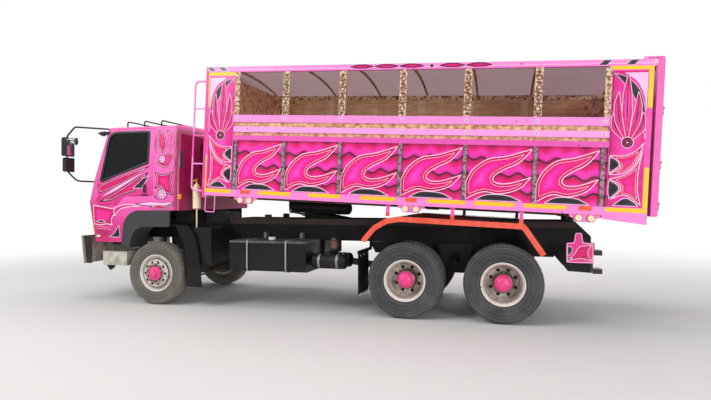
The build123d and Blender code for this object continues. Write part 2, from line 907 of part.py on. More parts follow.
def make_cab():
    skin = cab_form(-seat_gap)
    wall = cab_form(0) - cab_form(cab_wall)
    half = channel_half
    core = cab_form(cab_wall - 1)
    channel = block(-1400, -540, -half, half, 900, rail_top + 40)
    roof_of_channel = block(-1300, -560, -half - 40, half + 40, rail_top + 41, rail_top + 81) & core
    channel_walls = [
        block(-1300, -560, side * (half + 0.5), side * (half + 40), 900, rail_top + 60) & core
        for side in (-1, 1)
    ]
    shell = wall
    for side in (-1, 1):
        shell = shell - side_cutter(door_rows, door_gap, side)
    shell = shell - windscreen_cutter(0) - rear_window_cutter(0)
    shell = fuse([shell - channel, roof_of_channel] + channel_walls)
    lugs = []
    for side in (-1, 1):
        lug = side_slab(
            (
                (cab_pivot_x - 45, cab_pivot_z - 45, 44),
                (cab_pivot_x + 45, cab_pivot_z - 45, 44),
                (cab_pivot_x + 60, rail_top + 50, 0),
                (cab_pivot_x - 60, rail_top + 50, 0),
            ),
            side * (rail_outer_y + run_gap),
            side * (rail_outer_y + run_gap + 30),
        )
        lug = lug - across(cab_pivot_x, cab_pivot_z, cab_pivot_r + running_fit, side * 400, side * 500)
        lugs.append(lug)
    inside_low = 1518 + cab_wall
    pedestals = [block(-360, 40, y - 180, y + 180, inside_low - 5, inside_low + 120) for y in (-560, 560)]
    hinges = []
    for side in (-1, 1):
        for z in door_hinge_zs:
            near, far = side * (cab_half - 2), side * (door_hinge_y + 3)
            hinges.append(block(door_hinge_x - 37, door_hinge_x, near, far, z - 20, z))
            hinges.append(upright(door_hinge_x, side * door_hinge_y, door_hinge_r, z - 20, z))
            hinges.append(upright(door_hinge_x, side * door_hinge_y, door_pin_r, z - 1, z + 28))
    shell = fuse([shell] + lugs + pedestals + hinges)
    keep("cab_shell", shell)

    pane = cab_form(glass_set) - cab_form(glass_set + glass)
    keep("cab_glass", pane & windscreen_cutter(-seat_gap), pane & rear_window_cutter(-seat_gap))
    for side, word in ((-1, "left"), (1, "right")):
        door = (wall & side_cutter(door_rows, 0, side)) - side_cutter(window_rows, 0, side)
        for z in door_hinge_zs:
            low, high = z + seat_gap, z + 30
            outer_y = door_hinge_y + 3
            leaf = block(door_hinge_x, door_hinge_x + 37, side * (cab_half + 2), side * outer_y, low, high)
            near, far = side * (cab_half - 2), side * outer_y
            foot = block(door_hinge_x + 21, door_hinge_x + 37, near, far, low, high)
            y = side * door_hinge_y
            door = fuse([door, upright(door_hinge_x, y, door_hinge_r, low, high), leaf, foot])
            door = door - upright(door_hinge_x, y, door_pin_r + running_fit, z - 1, high + 1)
        grip = block(-232, -118, side * (cab_half - 2), side * (cab_half + 10), 1752, 1772)
        pull = block(-192, -152, side * (cab_half - 2), side * (cab_half + 26), 1800, 1815)
        pull = pull + block(-192, -152, side * (cab_half + 14), side * (cab_half + 26), 1800, 1930)
        pull = pull + block(-192, -152, side * (cab_half - 2), side * (cab_half + 26), 1915, 1930)
        keep("door_" + word, fuse([door, grip, pull]))
        keep("door_glass_" + word, pane & side_cutter(window_rows, -seat_gap, side))

    grille = (cab_form(-14) - skin) & block(-1600, -1100, -900, 900, 1330, 1860)
    for z in range(1400, 1820, 80):
        grille = grille - block(-1600, -1000, -800, 800, z, z + 40)
    keep("front_panel", grille)

    lamps = []
    lamp_form = cab_form(-22)
    for side in (-1, 1):
        zone = block(-1600, -1000, side * 850, side * 1180, 1130, 1290)
        lamps.append((lamp_form - skin) & zone)
    keep("headlamps", *lamps)

    arches = []
    for side in (-1, 1):
        face = side_slab(
            (
                (-607.1, 951, 0),
                (-547.7, 1507.7, 299.7),
                (289, 1515, 0),
                (289, 1300, 0),
                (270, 1253, 0),
                (-380, 1253, 260),
                (-455, 905, 0),
            ),
            side * 1205,
            side * 1238,
        )
        liner = side_slab(
            (
                (-480, 905, 0),
                (-400, 1275, 280),
                (270, 1275, 0),
                (270, 1253, 0),
                (-380, 1253, 260),
                (-455, 905, 0),
            ),
            side * 820,
            side * 1210,
        )
        arches.append(face + liner)
    keep("wheel_arches", *arches)

    inside_low = 1518 + cab_wall
    seats = []
    for y in (-560, 560):
        base = block(-420, 100, y - 250, y + 250, inside_low + 120 + seat_gap, inside_low + 260)
        back = side_slab(
            (
                (40, inside_low + 250, 0),
                (160, inside_low + 250, 0),
                (270, inside_low + 900, 40),
                (170, inside_low + 900, 40),
            ),
            y - 240,
            y + 240,
        )
        seats.append(fuse([base, back]))
    keep("seats", *seats)
    dash = side_slab(
        ((-1400, 1560, 0), (-880, 1560, 60), (-860, 1840, 60), (-1120, 1900, 30), (-1400, 1915, 0)),
        -1100,
        1100,
    ) & cab_form(cab_wall + seat_gap)
    column = Pos(wheel_x, wheel_y, wheel_z) * Rot(0, wheel_rake, 0) * upright(0, 0, 32, -400, -20 - seat_gap)
    keep("dashboard", dash + column)

    seat = Pos(wheel_x, wheel_y, wheel_z) * Rot(0, wheel_rake, 0)
    spokes = [Rot(0, 0, angle) * block(0, 205, -20, 20, -10, 10) for angle in (30, 150, 270)]
    keep("steering_wheel", seat * fuse([Torus(215, 17), Cylinder(55, 40)] + spokes))

    mirrors = []
    for side in (-1, 1):
        route = (
            (-940, side * 1020, 2868),
            (-1323, side * 1450, 2869),
            (-1478, side * 1450, 2720),
            (-1470, side * 1450, 2150),
            (-1310, side * 1420, 1990),
            (-1180, side * 1190, 1985),
        )
        arm = bent_tube(route, (60, 90, 120, 110), 14)
        big = side_slab(
            ((-1515, 2394, 37), (-1440, 2394, 12), (-1440, 2700, 12), (-1515, 2700, 37)),
            side * 1330,
            side * 1530,
        )
        small = side_slab(
            ((-1500, 2140, 34), (-1430, 2140, 12), (-1430, 2372, 12), (-1500, 2372, 34)),
            side * 1340,
            side * 1520,
        )
        wide = turned(((-26, 0, 0), (-26, 62, 0), (14, 62, 30), (22, 0, 0)), 0, 0)
        stalk = bar((-1450, side * 1450, 2660), (-1330, side * 1400, 2640), 9)
        wide = Pos(-1330, side * 1400, 2640) * Rot(0, 0, 50 * side) * wide + stalk
        mirrors.append(fuse([arm - skin, big, small, wide]))
    keep("mirrors", *mirrors)

    bars = []
    for x in (-760, -430, -100):
        line = ((x, -880, 2800), (x, -880, 3010), (x, 880, 3010), (x, 880, 2800))
        bars.append(bent_tube(line, (40, 40), 12))
    bars = [piece - skin for piece in bars]
    keep("roof_bars", *bars)


# Tipping bed, built level with x = -u and z = v, then tilted to its place


def sheet(u0, u1, y0, y1, v0, v1):
    return block(-u1, -u0, y0, y1, v0, v1)


def place_bed(shape):
    return Pos(bed_rear_x, 0, bed_rear_z) * Rot(0, bed_tilt, 0) * shape


def to_bed(x, z):
    """(u, v) in the bed of a point given in the truck's own frame."""
    turn = math.radians(bed_tilt)
    dx = x - bed_rear_x
    dz = z - bed_rear_z
    return (-(dx * math.cos(turn) - dz * math.sin(turn)), dx * math.sin(turn) + dz * math.cos(turn))


def make_bed():
    inner = bed_half - rail_deep
    pieces = [sheet(corner_edge_u, bed_length - 50, -inner, inner, 50, floor_top)]
    for side in (-1, 1):
        near, far = side * (rail_outer_y - 90), side * rail_outer_y
        pieces.append(sheet(60, bed_length - 50, near, far, beam_low, 51))
    for n in range(14):
        u = bearer_u0 + n * bearer_pitch
        pieces.append(sheet(u, u + bearer_wide, -inner, inner, bearer_low, 51))
    hinge_u, hinge_v = to_bed(tip_x, tip_z)
    eye_u, eye_v = to_bed(hoist_eye_x, hoist_eye_z)
    for side in (-1, 1):
        ear = side_slab(
            (
                (-hinge_u - 42, hinge_v - 42, 41),
                (-hinge_u + 42, hinge_v - 42, 41),
                (-hinge_u + 60, -50, 0),
                (-hinge_u - 60, -50, 0),
            ),
            side * 296,
            side * 341,
        )
        ear = ear - across(-hinge_u, hinge_v, tip_pin_r + running_fit, side * 280, side * 345)
        lug = side_slab(
            (
                (-eye_u - 40, eye_v - 40, 39),
                (-eye_u + 40, eye_v - 40, 39),
                (-eye_u + 60, -50, 0),
                (-eye_u - 60, -50, 0),
            ),
            side * 66,
            side * 86,
        )
        lug = lug - across(-eye_u, eye_v, 30 + seat_gap, side * 60, side * 90)
        pieces.extend([ear, lug])
    pieces.append(sheet(eye_u - 70, eye_u + 70, -340, 340, -55, 51))
    pieces.append(sheet(hinge_u - 70, hinge_u + 70, -340, 340, -55, 51))
    keep("bed_floor", place_bed(fuse(pieces)))

    head = sheet(bed_length - 50 + seat_gap, bed_length, -bed_half, bed_half, -80, bed_top)
    keep("headboard", place_bed(head))

    # Height bands of the side rails, (low, high)
    bands = ((4, floor_top), (820, 895), (945, 1028), (1097, 1205))
    panels = []
    rails = []
    for side in (-1, 1):
        far = bed_length - 50
        y0 = side * (bed_half - rail_deep + seat_gap)
        y1 = side * (bed_half - rail_deep + 6)
        panels.append(sheet(corner_rear_u + seat_gap, corner_front_u - seat_gap, y0, y1, floor_top, 1097))
        panels.append(sheet(corner_front_u, far, y0, side * (bed_half - 2), floor_top, 1859))
        panels.append(sheet(corner_edge_u, corner_rear_u, y0, side * (bed_half - 2), floor_top, 1859))
        rail_from, rail_to = corner_rear_u + seat_gap, corner_front_u - seat_gap
        for v0, v1 in bands[1:]:
            rails.append(sheet(rail_from, rail_to, y1 + side * seat_gap, side * bed_half, v0, v1))
        skirt = [sheet(corner_edge_u, far, y0, side * bed_half, skirt_low, floor_top - seat_gap)]
        tail = (
            (-tail_front_u, skirt_low + 1, 0),
            (-tail_front_u, skirt_low - 45, 0),
            (-corner_edge_u, skirt_low - 95, 0),
            (-corner_edge_u, skirt_low + 1, 0),
        )
        skirt.append(side_slab(tail, side * (bed_half - 8), side * bed_half))
        for u in lamp_us:
            hanger = (
                (-u - 190, skirt_low + 1, 0),
                (-u - 190, skirt_low - 35, 20),
                (-u - 130, skirt_low - 55, 20),
                (-u - 120, lamp_v - 51, 30),
                (-u + 120, lamp_v - 51, 30),
                (-u + 130, skirt_low - 55, 20),
                (-u + 190, skirt_low - 35, 20),
                (-u + 190, skirt_low + 1, 0),
            )
            skirt.append(side_slab(hanger, side * (bed_half - 30), side * (bed_half - 22)))
        rails.append(fuse(skirt))
        top = [sheet(corner_edge_u, far, side * (bed_half - 60), side * bed_half, 1859 + seat_gap, bed_top)]
        for y0, y1 in ((bed_half - 59, bed_half - 50), (bed_half - 10, bed_half - 1)):
            ear_high = gate_hinge_v + 15
            near, far = side * y0, side * y1
            top.append(sheet(gate_hinge_u - 20, gate_hinge_u + 20, near, far, bed_top - 1, ear_high))
        near, far = side * (bed_half - 59), side * (bed_half - 1)
        top.append(across(-gate_hinge_u, gate_hinge_v, gate_pin_r, near, far))
        rails.append(fuse(top))
    keep("side_panels", *[place_bed(piece) for piece in panels])
    keep("side_rails", *[place_bed(piece) for piece in rails])
    posts = []
    for side in (-1, 1):
        y0 = side * (bed_half - rail_deep + seat_gap)
        ends = (
            (corner_front_u - 75, corner_front_u - seat_gap),
            (corner_rear_u + seat_gap, corner_rear_u + 75),
        )
        for u_low, u_high in [(u - 50, u + 50) for u in post_us[1:-1]] + list(ends):
            posts.append(sheet(u_low, u_high, y0, side * (bed_half - 3), 1205 + seat_gap, 1859))
        for u in post_us:
            near = side * (bed_half - rail_deep + 6 + seat_gap)
            far = side * (bed_half + 2)
            posts.append(sheet(u - 22, u + 22, near, far, floor_top + seat_gap, 820 - seat_gap))
    keep("side_posts", *[place_bed(piece) for piece in posts])
    boards = sheet(corner_rear_u, corner_front_u, bed_half - 52, bed_half - rail_deep, 1100, 1859)
    keep("side_boards", place_bed(boards))

    lamps = []
    for side in (-1, 1):
        for u in lamp_us:
            for shift in (-75, 75):
                near = side * (bed_half - 22 + seat_gap)
                lamps.append(across(-(u + shift), lamp_v, lamp_r, near, side * (bed_half + 12)))
            lamps.append(sheet(u - 75, u + 75, side * (bed_half + seat_gap), side * (bed_half + 9), 8, 58))
    keep("side_lamps", *[place_bed(piece) for piece in lamps])

    guards = []
    for side in (-1, 1):
        points = []
        for x, z in ((3433, 1117), (3595, 1306), (3790, 1420), (3990, 1448), (5681, 1364), (5944, 971)):
            u, v = to_bed(x, z)
            points.append((-u, v))
        skin = side_slab(bent_strip(points, 12, 90), side * (bed_half - 610), side * bed_half)
        lip = side_slab(bent_strip(points, guard_lip, 60), side * (bed_half - 8), side * bed_half)
        guards.append(skin + lip)
        top_v = bearer_low - seat_gap
        (u0, v0), (u1, v1) = [(-points[n][0], points[n][1]) for n in (3, 4)]
        for n in (3, 5, 7):
            u = bearer_u0 + n * bearer_pitch + bearer_wide / 2
            foot = v0 + (v1 - v0) * (u - u0) / (u1 - u0)
            stay = (
                (-u - 30, foot - 6, 0),
                (-u + 30, foot - 6, 0),
                (-u + 22, -80, 0),
                (-u + 38, top_v, 0),
                (-u - 38, top_v, 0),
                (-u - 22, -80, 0),
            )
            guards[-1] = guards[-1] + side_slab(stay, side * 1190, side * 1202)
    keep("bed_guards", *[place_bed(piece) for piece in guards])

    ladder = bent_tube(
        (
            (-bed_length - seat_gap, -bed_half + 20, ladder_top),
            (-bed_length - ladder_out, -bed_half + 20, ladder_top),
            (-bed_length - ladder_out, -bed_half + 20, ladder_low),
            (-bed_length - seat_gap, -bed_half + 20, ladder_low),
        ),
        (70, 70),
        14,
    )
    rungs = [
        bar((-bed_length - ladder_out, -bed_half + 20, v), (-bed_length - seat_gap, -bed_half + 20, v), 12)
        for v in (439, 881, 1300)
    ]
    step_top = skirt_low - seat_gap
    step_front = bed_length - 50 - 12
    step = bent_tube(
        (
            (-step_front + 160, -bed_half + 20, step_top),
            (-step_front + 160, -bed_half + 20, -300),
            (-step_front, -bed_half + 20, -300),
            (-step_front, -bed_half + 20, step_top),
        ),
        (20, 20),
        9,
    )
    keep("ladder", place_bed(fuse([ladder] + rungs)), place_bed(step))

    bows = []
    ridge = 150.0
    seat_y = bed_half - 30
    radius = (seat_y * seat_y + ridge * ridge) / (2 * ridge)
    base = bed_top + seat_gap
    for u in (210, 1376, 2290, 3188, 4075, 4952, 6180):
        arc = ThreePointArc((-seat_y, base), (0, base + ridge), (seat_y, base))
        inner_arc = ThreePointArc((seat_y - 34, base), (0, base + ridge - 30), (-seat_y + 34, base))
        face = make_face([arc, Line(arc @ 1, inner_arc @ 0), inner_arc, Line(inner_arc @ 1, arc @ 0)])
        bows.append(Pos(-u - 17, 0, 0) * extrude(Plane.YZ * face, amount=34))
    keep("cover_bows", *[place_bed(piece) for piece in bows])
    over = base + seat_gap
    arc = ThreePointArc((-seat_y - 4, over), (0, over + ridge), (seat_y + 4, over))
    top_arc = ThreePointArc((seat_y + 4, over + 8), (0, over + ridge + 8), (-seat_y - 4, over + 8))
    face = make_face([arc, Line(arc @ 1, top_arc @ 0), top_arc, Line(top_arc @ 1, arc @ 0)])
    cover = Pos(-bed_length + 20, 0, 0) * extrude(Plane.YZ * face, amount=bed_length - 200)
    end_face = Plane.YZ * make_face([arc, Line(arc @ 1, arc @ 0)])
    ends = [Pos(x, 0, 0) * extrude(end_face, amount=8) for x in (-bed_length + 20, -188)]
    keep("load_cover", place_bed(fuse([cover] + ends)))


def make_gate():
    y = bed_half
    low, high = -33.0, 1976.0
    x0, x1 = 25.0, 25.0 + gate_tube
    ring = fuse(
        [
            block(x0, x1, -y, -y + 90, low, high),
            block(x0, x1, y - 90, y, low, high),
            block(x0, x1, -y, y, low, low + 90),
            block(x0, x1, -y, y, high - 90, high),
            block(x0 + 30, x0 + 38, -y + 80, y - 80, low + 80, high - 80),
        ]
    )
    section = ((x0, low, 0), (x1, low, 25), (x1, high, 45), (x0, high, 12))
    ring = ring & side_slab(section, -y - 1, y + 1)
    ribs = [block(x0 + 20, x1 - 10, at - 30, at + 30, low + 80, high - 80) for at in (-620, 0, 620)]
    arms = []
    for side in (-1, 1):
        arm = side_slab(
            (
                (-gate_hinge_u - 13, gate_hinge_v - 13, 12.9),
                (x1 - 5, gate_hinge_v - 13, 0),
                (x1 - 5, gate_hinge_v + 13, 0),
                (-gate_hinge_u - 13, gate_hinge_v + 13, 12.9),
            ),
            side * (y - 45),
            side * (y - 15),
        )
        bore = across(-gate_hinge_u, gate_hinge_v, gate_pin_r + running_fit, side * (y - 60), side * y)
        arms.append(arm - bore)
    keep("tailgate", place_bed(fuse([ring] + ribs + arms)))


def make_hoist():
    reach = math.hypot(hoist_foot_x - hoist_eye_x, hoist_eye_z - hoist_foot_z)
    rise = math.degrees(math.atan2(hoist_eye_z - hoist_foot_z, hoist_foot_x - hoist_eye_x))

    def lay(shape):
        return Pos(hoist_foot_x, 0, hoist_foot_z) * Rot(0, rise, 0) * shape

    def along(s0, s1, r):
        return bar((-s0, 0, 0), (-s1, 0, 0), r)

    barrel = fuse([along(45, 1180, barrel_r), across(0, 0, 55, -80, 80), along(0, 60, 50)])
    barrel = barrel - along(52, 1300, stage_r + seat_gap) - across(0, 0, 30 + running_fit, -90, 90)
    stage = along(120, 1240, stage_r) - along(110, 1250, ram_r + seat_gap)
    ram = fuse([along(195, reach, ram_r), across(-reach, 0, 50, -62, 62)])
    ram = ram - across(-reach, 0, 30 + seat_gap, -90, 90)
    keep("hoist_barrel", lay(barrel))
    keep("hoist_stage", lay(stage))
    keep("hoist_ram", lay(ram))


make_wheels()
make_steering()
make_frame()
make_axles()
make_driveline()
make_chassis_gear()
make_guards()
make_bumper()
make_tail()
make_cab()
make_bed()
make_gate()
make_hoist()

# Moves the origin to the ground under the middle of the whole truck.
whole = Compound([solid for solids in nodes.values() for solid in solids])
box = whole.bounding_box()
centre = Pos(-(box.min.X + box.max.X) / 2, 0, -box.min.Z)
for name, solids in nodes.items():
    export_step(Compound([centre * solid for solid in solids]), "parts/" + name + ".step")
print("nodes", len(nodes), "origin station", round((box.min.X + box.max.X) / 2, 3), "box", box)
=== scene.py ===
import math
from functools import reduce

import bmesh
import bpy
import numpy as np
from mathutils import Matrix, Vector
from mathutils.geometry import delaunay_2d_cdt


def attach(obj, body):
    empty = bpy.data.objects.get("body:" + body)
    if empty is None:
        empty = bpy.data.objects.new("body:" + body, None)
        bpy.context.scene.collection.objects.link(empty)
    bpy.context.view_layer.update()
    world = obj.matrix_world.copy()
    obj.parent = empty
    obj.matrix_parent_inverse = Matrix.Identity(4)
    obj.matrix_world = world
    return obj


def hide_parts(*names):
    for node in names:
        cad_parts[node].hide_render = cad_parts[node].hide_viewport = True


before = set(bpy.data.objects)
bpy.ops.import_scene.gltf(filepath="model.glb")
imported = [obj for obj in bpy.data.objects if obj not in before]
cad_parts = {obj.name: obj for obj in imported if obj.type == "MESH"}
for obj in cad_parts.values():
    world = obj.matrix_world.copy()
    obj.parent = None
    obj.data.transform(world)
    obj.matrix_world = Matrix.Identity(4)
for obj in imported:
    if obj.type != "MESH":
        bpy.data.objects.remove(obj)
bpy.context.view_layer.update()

# Metres in the frame's own axes: +X rearward, +Y to the truck's right, +Z up.
# Stations run rearward from the front axle and are shifted by AXLE_X.
# On the bed, u runs forward from its rear edge and v up from its bottom rail.
AXLE_X = -2.917002
BED_X = 4.235098
BED_Z = 1.5063
BED_TILT = math.radians(2.73)
BED_LENGTH = 6.294
BED_HALF = 1.240
BED_TOP = 1.942
LOW_PANEL_Y = 1.210
CORNER_PANEL_Y = 1.238
POST_US = (5.748, 4.952, 4.075, 3.188, 2.290, 1.376, 0.554)
LAMP_US = (5.553, 3.002, 0.736)
BAND_LOW = 0.004
BAND_HIGH = 0.063
YELLOW_RUNS = (
    # u of each yellow plate's rear and front end
    (5.787, 6.240), (4.816, 5.335), (4.039, 4.532), (3.229, 3.739),
    (2.259, 2.777), (1.617, 2.139), (0.968, 1.490), (0.020, 0.501),
)

FRONT_TYRE_R = 0.504
FRONT_TYRE_W = 0.275
FRONT_TYRE_Y = 1.062
REAR_TYRE_R = 0.538
REAR_TYRE_W = 0.268
TWIN_Y = 1.076
TWIN_STEP = 0.320
BEAD_R = 0.2985
SHOULDER_DROP = 0.018
HUB_R = 0.119
MID_AXLE = 4.051
REAR_AXLE = 5.397
TANK_TOP = 1.060
TANK_STRAPS = (1.612, 2.247)

CAB_HALF = 1.220
CAB_SHOULDER_Z = 2.050
CAB_TAPER = (CAB_HALF - 1.130) / (3.040 - CAB_SHOULDER_Z)
CAB_REAR = 0.446
CAB_WAIST = (-1.346, 1.648)
CAB_FOOT = (-1.240, 1.059)
CAB_TOP = (-1.040, 2.801)
CAB_FRONT_R = 0.200
CAB_REAR_R = 0.070
CAB_LEAN = (CAB_TOP[0] - CAB_WAIST[0]) / (CAB_TOP[1] - CAB_WAIST[1])
CAB_TUCK = (CAB_WAIST[0] - CAB_FOOT[0]) / (CAB_WAIST[1] - CAB_FOOT[1])

BUMPER_FACE = -1.470
BUMPER_TOP = 1.080
BUMPER_SLOPE = math.atan2(1.470 - 1.416, BUMPER_TOP - 0.616)

SIDES = ((-1, "left"), (1, "right"))


def rgb(red, green, blue):
    """A display colour, 0 to 255, as the linear one that shaders take."""
    out = []
    for value in (red, green, blue):
        c = value / 255
        out.append(c / 12.92 if c <= 0.04045 else ((c + 0.055) / 1.055) ** 2.4)
    return (*out, 1.0)


def dimmed(color, share):
    """The colour with only a share of its light."""
    return (*(c * share for c in color[:3]), 1.0)


PINK = rgb(240, 88, 166)
LIGHT_PINK = rgb(244, 150, 212)
PALE_PINK = rgb(250, 190, 228)
HUB_PINK = rgb(243, 62, 140)
PLATE_PINK = rgb(232, 48, 140)
CRIMSON = rgb(214, 10, 104)
DEEP_CRIMSON = rgb(120, 6, 60)
YELLOW = rgb(250, 196, 18)
ORANGE = rgb(236, 92, 20)
DUST = rgb(150, 132, 108)
RUST = rgb(112, 60, 34)
BEIGE = rgb(206, 172, 140)
NEAR_BLACK = rgb(26, 24, 28)


# Materials


class Shade:
    """One procedural material, built up around a Principled shader."""

    def __init__(self, name):
        self.material = bpy.data.materials.new(name)
        self.material.use_nodes = True
        self.tree = self.material.node_tree
        self.shader = self.tree.nodes["Principled BSDF"]
        self.place = self.tree.nodes.new("ShaderNodeTexCoord").outputs["Object"]

    def node(self, kind, **values):
        made = self.tree.nodes.new(kind)
        for key, value in values.items():
            setattr(made, key, value)
        return made

    def feed(self, value, socket):
        if isinstance(value, bpy.types.NodeSocket):
            self.tree.links.new(value, socket)
        else:
            socket.default_value = value

    def put(self, **values):
        """Sets inputs of the Principled shader, with _ for a space in their names."""
        for key, value in values.items():
            self.feed(value, self.shader.inputs[key.replace("_", " ")])

    def math(self, work, *values):
        made = self.node("ShaderNodeMath", operation=work)
        for value, socket in zip(values, made.inputs):
            self.feed(value, socket)
        return made.outputs[0]

    def times(self, *values):
        return reduce(lambda a, b: self.math("MULTIPLY", a, b), values)

    def plus(self, *values):
        return reduce(lambda a, b: self.math("ADD", a, b), values)

    def less(self, a, b):
        return self.math("SUBTRACT", a, b)

    def off(self, a, b=0.0):
        """How far one value is from another, either way."""
        return self.math("ABSOLUTE", self.less(a, b))

    def most(self, *values):
        return reduce(lambda a, b: self.math("MAXIMUM", a, b), values)

    def length(self, a, b):
        return self.math("SQRT", self.plus(self.times(a, a), self.times(b, b)))

    def axes(self):
        made = self.node("ShaderNodeSeparateXYZ")
        self.feed(self.place, made.inputs[0])
        return made.outputs

    def out(self):
        """Distance from the truck's middle plane."""
        return self.off(self.axes()["Y"])

    def station(self):
        return self.less(self.axes()["X"], AXLE_X)

    def dot(self, direction):
        """Distance along a direction from the bed's lower rear edge."""
        made = self.node("ShaderNodeVectorMath", operation="DOT_PRODUCT")
        self.feed(self.place, made.inputs[0])
        made.inputs[1].default_value = direction
        return self.less(made.outputs["Value"], BED_X * direction[0] + BED_Z * direction[2])

    def bed_u(self):
        return self.dot((-math.cos(BED_TILT), 0, math.sin(BED_TILT)))

    def bed_v(self):
        return self.dot((math.sin(BED_TILT), 0, math.cos(BED_TILT)))

    def noise(self, scale, detail=4.0, stretch=(1, 1, 1)):
        made = self.node("ShaderNodeTexNoise")
        moved = self.node("ShaderNodeMapping")
        self.feed(self.place, moved.inputs["Vector"])
        moved.inputs["Scale"].default_value = stretch
        self.feed(moved.outputs[0], made.inputs["Vector"])
        made.inputs["Scale"].default_value = scale
        made.inputs["Detail"].default_value = detail
        return made.outputs["Fac"]

    def span(self, value, low, high, out_low=0.0, out_high=1.0):
        made = self.node("ShaderNodeMapRange", interpolation_type="SMOOTHSTEP")
        for entry, socket in zip((value, low, high, out_low, out_high), made.inputs):
            self.feed(entry, socket)
        return made.outputs[0]

    def mix(self, share, a, b):
        made = self.node("ShaderNodeMix", data_type="RGBA")
        self.feed(share, made.inputs["Factor"])
        self.feed(a, made.inputs["A"])
        self.feed(b, made.inputs["B"])
        return made.outputs["Result"]

    def cloud(self, scale, detail, low, high, a, b):
        """Two colours mottled together by noise."""
        return self.mix(self.span(self.noise(scale, detail), low, high), a, b)

    def ramp(self, value, *stops):
        made = self.node("ShaderNodeValToRGB")
        elements = made.color_ramp.elements
        while len(elements) < len(stops):
            elements.new(0.5)
        for element, (at, color) in zip(elements, stops):
            element.position = at
            element.color = color
        self.feed(value, made.inputs[0])
        return made.outputs["Color"]

    def attribute(self, name):
        return self.node("ShaderNodeAttribute", attribute_name=name).outputs["Fac"]

    def inside_cab_side(self):
        """Depth under the tapered side of the cab."""
        taper = self.times(self.most(self.less(self.axes()["Z"], CAB_SHOULDER_Z), 0.0), CAB_TAPER)
        return self.less(self.less(CAB_HALF, taper), self.out())


def finish(name, color, rough=0.4, metal=0.0, spread=0.12, dust=0.3, dust_z=1.3, rust=0.0, bump=0.08,
           grain=9.0, coat=0.0, paint=None, dust_color=DUST, gloss=0.5):
    """A worn surface: base colour with mottling, dust that thickens downward, rust patches and a fine bump."""
    shade = Shade(name)
    base = paint(shade) if paint else color
    mottle = shade.span(shade.noise(grain, 6.0), 0.3, 0.72, 0.0, spread)
    base = shade.mix(mottle, base, dimmed(color, 0.45))
    if rust:
        patches = shade.span(shade.noise(grain * 1.7, 9.0), 0.66 - 0.28 * rust, 0.74 - 0.2 * rust)
        base = shade.mix(patches, base, shade.mix(shade.noise(60.0), RUST, dimmed(RUST, 0.4)))
    if dust:
        settled = shade.span(shade.axes()["Z"], dust_z, 0.1, 0.12, 1.0)
        drift = shade.span(shade.noise(3.1, 7.0), 0.3, 0.75, 0.15, 1.0)
        base = shade.mix(shade.times(settled, drift, dust), base, dust_color)
    uneven = shade.span(shade.noise(grain * 0.7, 5.0), 0.25, 0.75, max(rough - 0.1, 0.05), min(rough + 0.12, 1.0))
    shade.put(Base_Color=base, Roughness=uneven, Metallic=metal, Coat_Weight=coat, Specular_IOR_Level=gloss)
    if bump:
        rise = shade.node("ShaderNodeBump")
        rise.inputs["Strength"].default_value = bump
        rise.inputs["Distance"].default_value = 0.004
        shade.feed(shade.noise(grain * 9, 8.0), rise.inputs["Height"])
        shade.put(Normal=rise.outputs[0])
    return shade.material


def bay_paint(shade):
    """Rows of waves on the lower panels, plain pink corner panels, worn beige inside and above."""
    u, v, out = shade.bed_u(), shade.bed_v(), shade.out()
    waves = [shade.times(shade.math("SINE", shade.times(u, 2 * math.pi / length)), height)
             for length, height in ((0.235, 0.11), (0.59, 0.06))]
    depth = shade.math("FRACT", shade.plus(shade.math("DIVIDE", v, 0.215), shade.plus(*waves)))
    wave = shade.ramp(depth, (0.0, DEEP_CRIMSON), (0.04, rgb(222, 40, 150)), (0.28, rgb(248, 50, 180)),
                      (0.60, rgb(226, 8, 112)), (0.84, rgb(190, 0, 84)), (0.94, rgb(74, 6, 44)), (1.0, rgb(34, 8, 30)))
    bare = shade.cloud(14.0, 9.0, 0.35, 0.7, rgb(240, 196, 152), rgb(168, 112, 78))
    low_panel = shade.span(out, 1.2165, 1.2155)
    above = shade.times(low_panel, shade.span(v, 0.893, 0.897))
    inner_face = shade.span(out, 1.2048, 1.2042)
    return shade.mix(shade.most(above, inner_face), shade.mix(low_panel, rgb(242, 72, 176), wave), bare)


def headboard_paint(shade):
    """Crimson-pink outside, worn beige towards the load."""
    bare = shade.cloud(12.0, 9.0, 0.35, 0.7, rgb(240, 192, 146), rgb(178, 120, 86))
    return shade.mix(shade.span(shade.bed_u(), 6.2462, 6.2458), rgb(232, 62, 150), bare)


def rail_paint(shade):
    """Six shades of pink, five for the heights of rail and the last a painted highlight along the top rail, and worn
    wood inside.
    """
    v = shade.bed_v()
    steps = (
        # height where a shade begins and where it is full
        (0.54, 0.56, rgb(228, 84, 176)), (0.92, 0.94, rgb(248, 158, 222)), (1.07, 1.09, rgb(238, 142, 212)),
        # the step from 1.88 up is a painted highlight along the top of the top rail
        (1.49, 1.51, rgb(242, 120, 200)), (1.88, 1.90, rgb(240, 140, 204)),
    )
    color = rgb(246, 134, 208)
    for low, high, above in steps:
        color = shade.mix(shade.span(v, low, high), color, above)
    worn = shade.cloud(20.0, 9.0, 0.45, 0.6, rgb(238, 212, 174), rgb(156, 104, 70))
    return shade.mix(shade.span(shade.out(), 1.183, 1.181), color, worn)


def post_paint(shade):
    """Dull metal strips on the painted panels and rusty beige posts above them."""
    beige = shade.cloud(30.0, 9.0, 0.46, 0.56, rgb(222, 194, 162), rgb(136, 84, 54))
    metal = shade.cloud(26.0, 8.0, 0.4, 0.62, rgb(150, 142, 142), rgb(72, 62, 66))
    return shade.mix(shade.span(shade.bed_v(), 0.826, 0.834), metal, beige)


